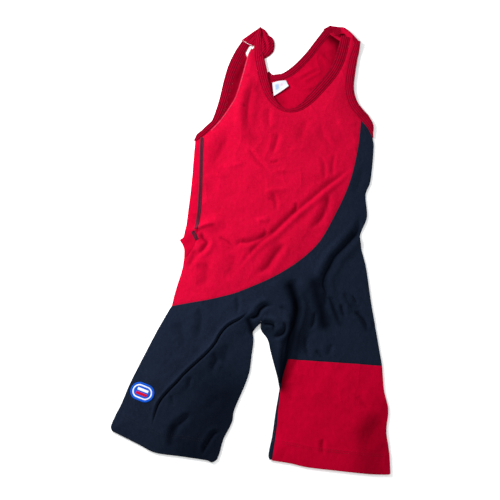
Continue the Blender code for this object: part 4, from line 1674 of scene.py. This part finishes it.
@dataclass(frozen=True)
class RibFinish:
    """Ribbed knit: ribs along the strip on its own pattern, with painted shade between them, a little fuzz,
    and painted shade from the mesh's shade attribute.
    """

    name: str
    colour: Colour
    deep: Colour
    fuzz: Colour
    sheen: float
    tint: Colour
    rib: float = 0.0040
    rib_depth: float = 0.0005
    turn: float = 0.0

    def make(self) -> bpy.types.Material:
        """Makes the material."""
        nodes = Nodes(self.name)
        place = nodes.object_place()
        settings = {"Vector": nodes.pattern_place(), "Rotation": (0.0, 0.0, self.turn)}
        pattern = nodes.node("ShaderNodeMapping", {}, settings).outputs[0]
        across, along, _ = nodes.parts(pattern)
        ribs = (across + nodes.noise(place, 40.0, 2.0) * 0.0008).wave(self.rib)
        stitches = along.wave(0.0010)
        mottle = nodes.noise(place, 260.0, 3.0)
        patches = nodes.noise(place, 25.0, 2.0)
        specks = nodes.noise(place, 1500.0, 1.0)
        # Painted shade: the grooves between the ribs are darker.
        tone = 0.5 - ribs * 0.24 + (mottle - 0.5) * 1.1 + (patches - 0.5) * 0.7
        base = nodes.mixed(tone, self.colour, self.deep)
        base = nodes.mixed(specks.above(0.60, 0.12) * 0.14, base, self.fuzz)
        # Painted shade: the shade attribute mixes the colour toward a much darker copy of the deep colour.
        base = nodes.mixed(nodes.shade(), base, tuple(DEEPEST_SHADE * c for c in self.deep[:3]) + (1.0,))
        under = nodes.relief(nodes.noise(place, 90.0, 3.0), 0.0005)
        normal = nodes.relief(ribs * 0.8 + stitches * 0.12 + specks * 0.2, self.rib_depth, under)
        return nodes.finish(base, 0.7 + (mottle - 0.5) * 0.25, normal, self.sheen, self.tint)


@dataclass(frozen=True)
class TapeFinish:
    """The overlocked seam: dark thread loops that cross the tape, with the cloth's colour between."""

    name: str
    colour: Colour
    between: Colour
    pitch: float = 0.0015

    def make(self) -> bpy.types.Material:
        """Makes the material."""
        nodes = Nodes(self.name)
        across, along, _ = nodes.parts(nodes.pattern_place())
        place = nodes.object_place()
        loops = (along + across * 0.22 + nodes.noise(place, 120.0) * 0.0006).wave(self.pitch)
        rails = across.math("ABSOLUTE").band(0.0030, 0.0006, 0.0003)
        centre = across.band(0.0, 0.0009, 0.0005)
        mottle = nodes.noise(place, 420.0, 3.0)
        share = (loops * 0.22 + 0.40 + (mottle - 0.5) * 0.7 + centre * 0.16) - rails * 0.35
        base = nodes.mixed(share, self.colour, self.between)
        normal = nodes.relief(loops * 0.6 + mottle * 0.5, 0.0003)
        return nodes.finish(base, 0.75, normal, 0.15, (0.8, 0.6, 0.65, 1.0))


@dataclass(frozen=True)
class ThreadFinish:
    """Sewing or embroidery thread: fine slanted strands with painted shade between them, and a soft shine."""

    name: str
    colour: Colour
    strand: float = 0.0006
    relief: float = 0.00012
    roughness: float = 0.5
    # How much darker the painted shade between the strands makes the colour.
    shade: float = 0.35

    def make(self) -> bpy.types.Material:
        """Makes the material."""
        nodes = Nodes(self.name)
        place = nodes.object_place()
        right, up, _ = nodes.parts(place)
        strands = (right * 0.9 + up * 0.44 + nodes.noise(place, 300.0) * 0.0004).wave(self.strand)
        mottle = nodes.noise(place, 700.0, 2.0)
        deep = tuple(c * (1 - self.shade) for c in self.colour[:3]) + (1.0,)
        base = nodes.mixed(0.35 - strands * 0.3 + (mottle - 0.5) * 0.6, self.colour, deep)
        normal = nodes.relief(strands * 0.5 + mottle * 0.5, self.relief)
        return nodes.finish(base, self.roughness, normal, 0.1, (0.9, 0.9, 0.9, 1.0))


@dataclass(frozen=True)
class LabelFinish:
    """White woven label with a faint generic mark: a pale blue block, a blue line and a pink block."""

    name: str
    colour: Colour
    blue: Colour
    pink: Colour

    def make(self) -> bpy.types.Material:
        """Makes the material."""
        nodes = Nodes(self.name)
        across, down, _ = nodes.parts(nodes.pattern_place())
        place = nodes.object_place()
        wobble = (nodes.noise(place, 260.0) - 0.5) * 0.10
        block = (across + wobble).band(0.30, 0.13, 0.05) * (down + wobble).band(0.45, 0.22, 0.06)
        line = (across + wobble).band(0.36, 0.26, 0.05) * down.band(0.78, 0.03, 0.03)
        spot = (across + wobble).band(0.62, 0.10, 0.06) * (down + wobble).band(0.40, 0.12, 0.06)
        base = nodes.mixed(block * 0.6 + line * 0.45, self.colour, self.blue)
        base = nodes.mixed(spot * 0.45 + down.above(0.93, 0.05) * 0.3, base, self.pink)
        weave = across.wave(0.035) * 0.5 + down.wave(0.045) * 0.5
        normal = nodes.relief(weave + nodes.noise(place, 500.0) * 0.8, 0.00012)
        return nodes.finish(base, 0.55, normal, 0.05, (1.0, 1.0, 1.0, 1.0))


@dataclass
class Finishes:
    """All the garment's finishes, made once."""

    red: bpy.types.Material = field(init=False)
    shaded_inside_red: bpy.types.Material = field(init=False)
    shaded_block_red: bpy.types.Material = field(init=False)
    navy: bpy.types.Material = field(init=False)
    binding: bpy.types.Material = field(init=False)
    strap: bpy.types.Material = field(init=False)
    rolled: bpy.types.Material = field(init=False)
    tape: bpy.types.Material = field(init=False)
    red_thread: bpy.types.Material = field(init=False)
    block_thread: bpy.types.Material = field(init=False)
    navy_thread: bpy.types.Material = field(init=False)
    dark_thread: bpy.types.Material = field(init=False)
    white_thread: bpy.types.Material = field(init=False)
    blue_embroidery: bpy.types.Material = field(init=False)
    white_embroidery: bpy.types.Material = field(init=False)
    red_embroidery: bpy.types.Material = field(init=False)
    label: bpy.types.Material = field(init=False)

    RED = (0.43, 0.0006, 0.023, 1.0)
    DEEP_RED = (0.33, 0.0006, 0.015, 1.0)
    PINK = (0.60, 0.022, 0.062, 1.0)
    NAVY = (0.0066, 0.0105, 0.0215, 1.0)
    DEEP_NAVY = (0.0040, 0.0066, 0.0150, 1.0)
    SLATE = (0.028, 0.038, 0.060, 1.0)
    CRIMSON = (0.285, 0.0008, 0.0155, 1.0)
    DEEP_CRIMSON = (0.155, 0.0004, 0.0085, 1.0)

    def __post_init__(self) -> None:
        """Makes each material."""
        rose, steel = (1.0, 0.05, 0.16, 1.0), (0.45, 0.6, 0.9, 1.0)
        self.red = KnitFinish("red_knit", self.RED, self.DEEP_RED, self.PINK, 0.06, rose).make()
        # The back layer's red, seen inside the garment through the neck and armholes, is set a little darker
        # than the front's red as painted shade.
        inside = KnitFinish(
            "shaded_inside_red_knit", (0.39, 0.0010, 0.020, 1.0), (0.31, 0.0006, 0.014, 1.0), self.PINK, 0.02, rose,
            fuzz_share=0.05,
        )
        self.shaded_inside_red = inside.make()
        # The leg block's red is set a little darker than the body's red as painted shade, where less light
        # falls on the lower right.
        block = KnitFinish(
            "shaded_block_red_knit", (0.41, 0.0004, 0.020, 1.0), (0.33, 0.0003, 0.014, 1.0), self.PINK, 0.02, rose,
            fuzz_share=0.06,
        )
        self.shaded_block_red = block.make()
        self.navy = KnitFinish("navy_knit", self.NAVY, self.DEEP_NAVY, self.SLATE, 0.03, steel).make()
        ribs = (self.CRIMSON, self.DEEP_CRIMSON, self.PINK, 0.03, rose)
        self.binding = RibFinish("crimson_rib", *ribs).make()
        self.strap = RibFinish("crimson_strap_rib", *ribs, turn=math.radians(35)).make()
        rolled = RibFinish("rolled_edge", (0.45, 0.03, 0.07, 1.0), self.CRIMSON, self.PINK, 0.1, rose)
        self.rolled = rolled.make()
        self.tape = TapeFinish("overlock_tape", (0.040, 0.008, 0.016, 1.0), (0.150, 0.007, 0.028, 1.0)).make()
        self.red_thread = ThreadFinish("crimson_thread", (0.09, 0.002, 0.012, 1.0)).make()
        self.navy_thread = ThreadFinish("navy_thread", (0.0058, 0.0085, 0.018, 1.0)).make()
        self.block_thread = ThreadFinish("red_thread", (0.24, 0.0006, 0.014, 1.0), shade=0.2).make()
        self.dark_thread = ThreadFinish("dark_thread", (0.030, 0.010, 0.018, 1.0)).make()
        self.white_thread = ThreadFinish("white_thread", (0.62, 0.62, 0.64, 1.0)).make()
        self.blue_embroidery = ThreadFinish("blue_embroidery", (0.004, 0.075, 0.50, 1.0)).make()
        self.white_embroidery = ThreadFinish("white_embroidery", (0.66, 0.68, 0.74, 1.0), shade=0.2).make()
        self.red_embroidery = ThreadFinish("red_embroidery", (0.50, 0.003, 0.02, 1.0)).make()
        self.label = LabelFinish(
            "woven_label", (0.50, 0.53, 0.60, 1.0), (0.10, 0.24, 0.52, 1.0), (0.55, 0.20, 0.28, 1.0)
        ).make()


# --- garment ----------------------------------------------------------------------------------------------


@dataclass
class Garment:
    """The whole singlet: panels, bindings, straps, stitching and trim."""

    finishes: Finishes
    plan: Plan = field(default_factory=Plan)

    def __post_init__(self) -> None:
        """Works out the form that every piece follows."""
        self.form = Form(self.plan)

    def build(self) -> None:
        """Makes every piece in order."""
        self.build_front()
        self.build_back()
        bindings = self.build_bindings()
        self.build_straps()
        SeamTape(self.form).build(self.finishes.tape, self.finishes.dark_thread)
        self.build_stitching(bindings)
        Patch(self.form).build(
            (self.finishes.blue_embroidery, self.finishes.white_embroidery, self.finishes.red_embroidery)
        )
        NeckLabel(self.form).build(self.finishes.label)

    def build_front(self) -> None:
        """The layer on top: red body, navy hips and left leg, and the red block on the right leg."""
        plan = self.plan
        inset = {
            name: plan.inset(name, TURN_REACH) for name in (
                "side_left_lower", "side_right", "leg_left_outer", "leg_left_inner", "leg_right_inner_upper",
                "leg_right_outer",
            )
        }
        rolled = plan.inset("armhole_left_front", ROLLED_EDGE_WIDTH)
        neck_left = plan.edge("neck_front_left")
        red = Outline().add("side_left_lower", inset["side_left_lower"]).add("seam", plan.edge("side_seam"))
        red.add("armpit", plan.edge("armpit_left")).add("armhole_left", rolled)
        red.add("neck_left", neck_left[neck_left[:, 1] < 388])
        red.add("neck_right", plan.edge("neck_front_right"))
        red.add("strap_end", plan.edge("strap_end_right")).add("armhole", plan.edge("armhole_right_front"))
        red.add("sweep", plan.edge("sweep"))
        self.panel("red_front_panel", "front_red", "cloth_red", Layer.FRONT, red, turned=("side_left_lower",))
        navy = Outline().add("sweep", plan.edge("sweep")[::-1])
        navy.add("armhole", plan.edge("armhole_right_front_end")).add("side_right", inset["side_right"])
        navy.add("block_top", plan.edge("block_top")[::-1]).add("block", plan.edge("block_inner_upper")[::-1])
        navy.add("inner_right", inset["leg_right_inner_upper"]).add("inner_left", inset["leg_left_inner"])
        navy.add("hem", plan.edge("hem_left")).add("outer_left", inset["leg_left_outer"])
        self.panel(
            "navy_front_panel", "front_navy", "cloth_navy", Layer.FRONT, navy,
            turned=("side_right", "inner_right", "inner_left", "outer_left"), hems=("hem",),
        )
        block = Outline().add("top", plan.edge("block_top")).add("outer", inset["leg_right_outer"])
        block.add("hem", plan.edge("hem_right")).add("inner_lower", plan.edge("block_inner_lower"))
        block.add("inner_upper", plan.edge("block_inner_upper"))
        self.panel(
            "red_leg_block", "leg_block_front", "cloth_red", Layer.FRONT, block, turned=("outer",),
            hems=("hem",),
        )

    def build_back(self) -> None:
        """The layer on the floor, which wraps to the front at the left side and inside the right leg."""
        plan = self.plan
        wrap_side = plan.inset("side_left_upper", TURN_REACH)
        inner = np.vstack((plan.edge("leg_right_inner_lower"), plan.edge("leg_right_inner_upper")[1:6]))
        wrap_leg = shifted(inner, TURN_REACH)
        block_seam = np.vstack((plan.edge("block_inner_lower"), plan.edge("block_inner_upper")[1:4]))
        armhole, neck = plan.edge("armhole_left_back"), plan.edge("neck_back")
        red = Outline().add("side_lower", plan.inset("side_left_lower", SIDE_INSET)).add("wrap", wrap_side)
        red.add("armpit", plan.edge("armpit_left_end")).add("armhole_left", armhole[armhole[:, 1] < 373])
        red.add("strap_end", plan.edge("back_strap_end_left"))
        red.add("inner", plan.edge("back_strap_inner_left"))
        red.add("neck", neck).add("strap_end_right", plan.edge("back_strap_end_right"))
        red.add("armhole_right", plan.edge("armhole_right_back")).add("sweep", plan.edge("sweep_back"))
        self.panel(
            "red_back_panel", "back_red", "cloth_red", Layer.BACK, red,
            wraps={"wrap": plan.edge("side_seam") - (SEAM_HALF_GAP, 0)},
        )
        navy = Outline().add("sweep", plan.edge("sweep_back")[::-1])
        navy.add("armhole", plan.edge("armhole_right_back_end"))
        navy.add("side", plan.inset("side_right", SIDE_INSET))
        navy.add("outer_right", plan.inset("leg_right_outer", SIDE_INSET))
        navy.add("hem_right", plan.edge("hem_right")[4:]).add("wrap", wrap_leg)
        navy.add("inner_right", plan.inset("leg_right_inner_upper", SIDE_INSET)[6:])
        navy.add("inner_left", plan.inset("leg_left_inner", SIDE_INSET))
        navy.add("hem_left", plan.edge("hem_left")[2:-2])
        navy.add("outer_left", plan.inset("leg_left_outer", SIDE_INSET))
        self.panel(
            "navy_back_panel", "back_navy", "cloth_navy", Layer.BACK, navy,
            wraps={"wrap": block_seam - (SEAM_HALF_GAP, 0)},
        )

    def panel(
        self, name: str, node: str, slot: str, layer: Layer, outline: Outline, turned: Sequence[str] = (),
        wraps: dict[str, np.ndarray] | None = None, hems: Sequence[str] = (),
    ) -> None:
        """Makes one panel.

        Args:
            name: The panel's name.
            node: The frame's node that it replaces.
            slot: The record's material slot.
            layer: The layer that it lies in.
            outline: Its outline.
            turned: The stretches that turn to the other layer.
            wraps: The stretches that go on to a seam, with the seam's line.
            hems: The stretches that turn under as hems.
        """
        finish = {"cloth_red": self.finishes.red, "cloth_navy": self.finishes.navy}[slot]
        own = {"leg_block_front": self.finishes.shaded_block_red, "back_red": self.finishes.shaded_inside_red}
        finish = own.get(node, finish)
        front = layer is Layer.FRONT
        rests_on = ("back_red", "back_navy") if front else ()
        Panel(
            name, node, slot, layer, outline, self.form, finish, FRONT_CELL if front else BACK_CELL,
            turned=turned, wraps=wraps or {}, hems=hems, rests_on=rests_on,
        ).build()

    def build_bindings(self) -> dict[str, Binding]:
        """The ribbed strips round the neck and the armholes."""
        front, back = self.form.front_binding, self.form.back_binding
        lines = {
            "front_neck_binding": ("neck_binding_front", ("neck_front_left", "neck_front_right"), front),
            "back_neck_binding": ("neck_binding_back", ("neck_back", "neck_back_end"), back),
            "right_armhole_binding": (
                "armhole_binding_right_front", ("armhole_right_front", "armhole_right_front_end"), front,
            ),
            "left_armhole_back_binding": (
                "armhole_binding_left_back", ("armhole_left_tip", "armhole_left_back"), back,
            ),
        }
        made = {}
        for name, (node, seams, height) in lines.items():
            rows = [self.plan.line(seam) for seam in seams]
            line = np.vstack([rows[0], *(row[1:] for row in rows[1:])])
            # Painted shade: the left armhole's back binding and the back neck binding are darkened as if they
            # lay in shade.
            shade = {"left_armhole_back_binding": 0.26, "back_neck_binding": 0.10}.get(name, 0.0)
            made[name] = Binding(
                name, node, line[:, :2], line[:, 2], height, self.finishes.binding, shade=shade,
            )
        rolled = self.plan.inset("armhole_left_front", ROLLED_EDGE_WIDTH)
        made["left_armhole_rolled_edge"] = Binding(
            "left_armhole_rolled_edge", "armhole_binding_left_front", rolled,
            np.full(len(rolled), ROLLED_EDGE_WIDTH), front, self.finishes.rolled, groove=0.1,
        )
        free = made["right_armhole_binding"]
        free_edge = free.seam - normals_of(free.seam) * free.widths[:, None]
        end = self.plan.edge("armhole_right_back_end")[1:]
        hidden = np.vstack((self.plan.edge("armhole_right_back"), end))
        widths = np.maximum(nearest(hidden, free_edge).distance - 2.0, 2.0)
        made["right_armhole_back_binding"] = Binding(
            "right_armhole_back_binding", "armhole_binding_right_back", hidden, widths, back,
            self.finishes.binding,
        )
        for binding in made.values():
            binding.build()
        return made

    def build_straps(self) -> None:
        """The upper ends of the straps."""
        ShoulderTurn(self.form).build((self.finishes.strap, self.finishes.red))
        StrapEnd(
            "strap_fold", "strap_fold_left", self.plan.strap_fold_left, self.form, self.finishes.strap,
            height=1.6, reach=5.0, lean=(0.03, 0.02), lowest=2.6,
            creases=(Crease("fold_line", ((-8, 398), (4, 412), (17, 430)), 3.0, 0.7, 0.4, 0.3),),
        ).build()
        StrapEnd(
            "strap_loop", "strap_loop_left", self.plan.strap_loop_left, self.form, self.finishes.strap,
            height=6.4, reach=17.0, lean=(0.03, 0.0),
            creases=(
                Crease("loop_fold", ((22, 430), (26, 410), (31, 390), (30, 368)), 3.5, 1.3, 0.3, 0.5),
                Crease("loop_roll", ((36, 412), (41, 396), (40, 378)), 4.0, 0.7, 0.2, 0.4),
            ),
        ).build()

    def build_stitching(self, bindings: dict[str, Binding]) -> None:
        """The rows of thread along the bindings, the seams and the hems, and the tack on the strap."""
        crimson = Stitching("binding_stitches", "binding_red", self.finishes.red_thread)
        for name, binding in bindings.items():
            if name in ("left_armhole_rolled_edge", "right_armhole_back_binding"):
                continue
            top = (lambda b: lambda points: b.top(points) - 0.3)(binding)
            crimson.run(evenly(binding.along(0.0), 1.0), top)
            crimson.run(evenly(binding.along(1.0), 1.0), top)
        crimson.build()

        def cloth_top(points: np.ndarray) -> np.ndarray:
            """The height of the upper side of the leg's cloth."""
            return self.form.front(points) + PANEL_WALL / 2 + 0.05

        navy = Stitching("seam_stitches", "cloth_navy", self.finishes.navy_thread, radius=0.26)
        navy.run(shifted(self.plan.edge("sweep"), -2.2), cloth_top)
        navy.run(shifted(self.plan.edge("block_top"), -2.2), cloth_top)
        hem = self.plan.edge("hem_left")
        for distance in HEM_STITCH_ROWS:
            line = shifted(hem, distance)
            navy.run(line[(line[:, 0] < -70)], cloth_top)
        navy.build()
        red = Stitching("hem_stitches", "cloth_red", self.finishes.block_thread, radius=0.22)
        hem = self.plan.edge("hem_right")
        for distance in HEM_STITCH_ROWS:
            line = shifted(hem, distance)
            red.run(line[(line[:, 0] > 48) & (line[:, 0] < 222)], cloth_top)
        red.run(smooth_line(((36.6, -388), (40.2, -368), (43.6, -346))), cloth_top, 2.6, 4.6)
        red.build()
        tack = Stitching("strap_tack", "label_white", self.finishes.white_thread, radius=0.55)

        def strap_top(points: np.ndarray) -> np.ndarray:
            """The height of the strap under the tack, from its left end to its right."""
            return np.interp(points[:, 0], (-19, -8, 6), (2.8, 4.2, 4.0))

        tack.run(smooth_line(((-19, 405), (-12, 399), (-4, 393), (6, 389.5))), strap_top, 6.4, 0.15)
        tack.build()


@dataclass
class Studio:
    """A pale floor, soft light and the camera."""

    azimuth: float = 0.0
    elevation: float = 72.0
    distance: float = 1.27
    target: tuple[float, float, float] = (-0.0022, -0.0468, 0.0)
    lens: float = 49.45
    sensor: float = 36.0
    floor_level: float = -0.0003
    sky: float = 0.78

    def build(self) -> None:
        """Makes the floor, the lights and the camera."""
        bpy.ops.object.select_all(action="DESELECT")
        bpy.ops.mesh.primitive_plane_add(size=8.0, location=(0.0, 0.0, self.floor_level))
        floor = bpy.context.active_object
        floor.name = "floor"
        nodes = Nodes("floor_paint")
        nodes.shader.inputs["Base Color"].default_value = (0.93, 0.93, 0.93, 1.0)
        nodes.shader.inputs["Emission Color"].default_value = (1.0, 1.0, 1.0, 1.0)
        nodes.shader.inputs["Emission Strength"].default_value = 0.16
        nodes.shader.inputs["Roughness"].default_value = 0.9
        nodes.shader.inputs["Specular IOR Level"].default_value = 0.1
        floor.data.materials.append(nodes.material)
        world = bpy.data.worlds.new("studio")
        bpy.context.scene.world = world
        world.use_nodes = True
        background = world.node_tree.nodes["Background"]
        background.inputs["Color"].default_value = (0.98, 0.99, 1.0, 1.0)
        background.inputs["Strength"].default_value = self.sky
        self.light("key", (-0.70, 0.41, 0.56), 0.42, 19.5)
        self.camera()
        bpy.context.scene.view_settings.view_transform = "Standard"

    def light(self, name: str, place: tuple[float, float, float], size: float, power: float) -> None:
        """Adds a soft square light that faces the garment."""
        data = bpy.data.lights.new(name, "AREA")
        data.size, data.energy = size, power
        lamp = bpy.data.objects.new(name, data)
        bpy.context.scene.collection.objects.link(lamp)
        lamp.location = place
        lamp.visible_camera = False
        lamp.rotation_euler = (Vector(self.target) - Vector(place)).to_track_quat("-Z", "Y").to_euler()

    def camera(self) -> None:
        """Adds the camera and makes it the scene's."""
        data = bpy.data.cameras.new("camera")
        data.lens, data.sensor_width = self.lens, self.sensor
        camera = bpy.data.objects.new("camera", data)
        bpy.context.scene.collection.objects.link(camera)
        up, round_ = math.radians(self.elevation), math.radians(self.azimuth)
        away = Vector((math.sin(round_) * math.cos(up), -math.cos(round_) * math.cos(up), math.sin(up)))
        camera.location = Vector(self.target) + away * self.distance
        camera.rotation_euler = (-away).to_track_quat("-Z", "Y").to_euler()
        bpy.context.scene.camera = camera


def main() -> None:
    """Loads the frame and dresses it."""
    logging.basicConfig(level=logging.INFO, format="%(name)s: %(message)s")
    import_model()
    bpy.ops.object.select_all(action="DESELECT")
    Studio().build()
    Garment(Finishes()).build()


if __name__ == "__main__":
    main()
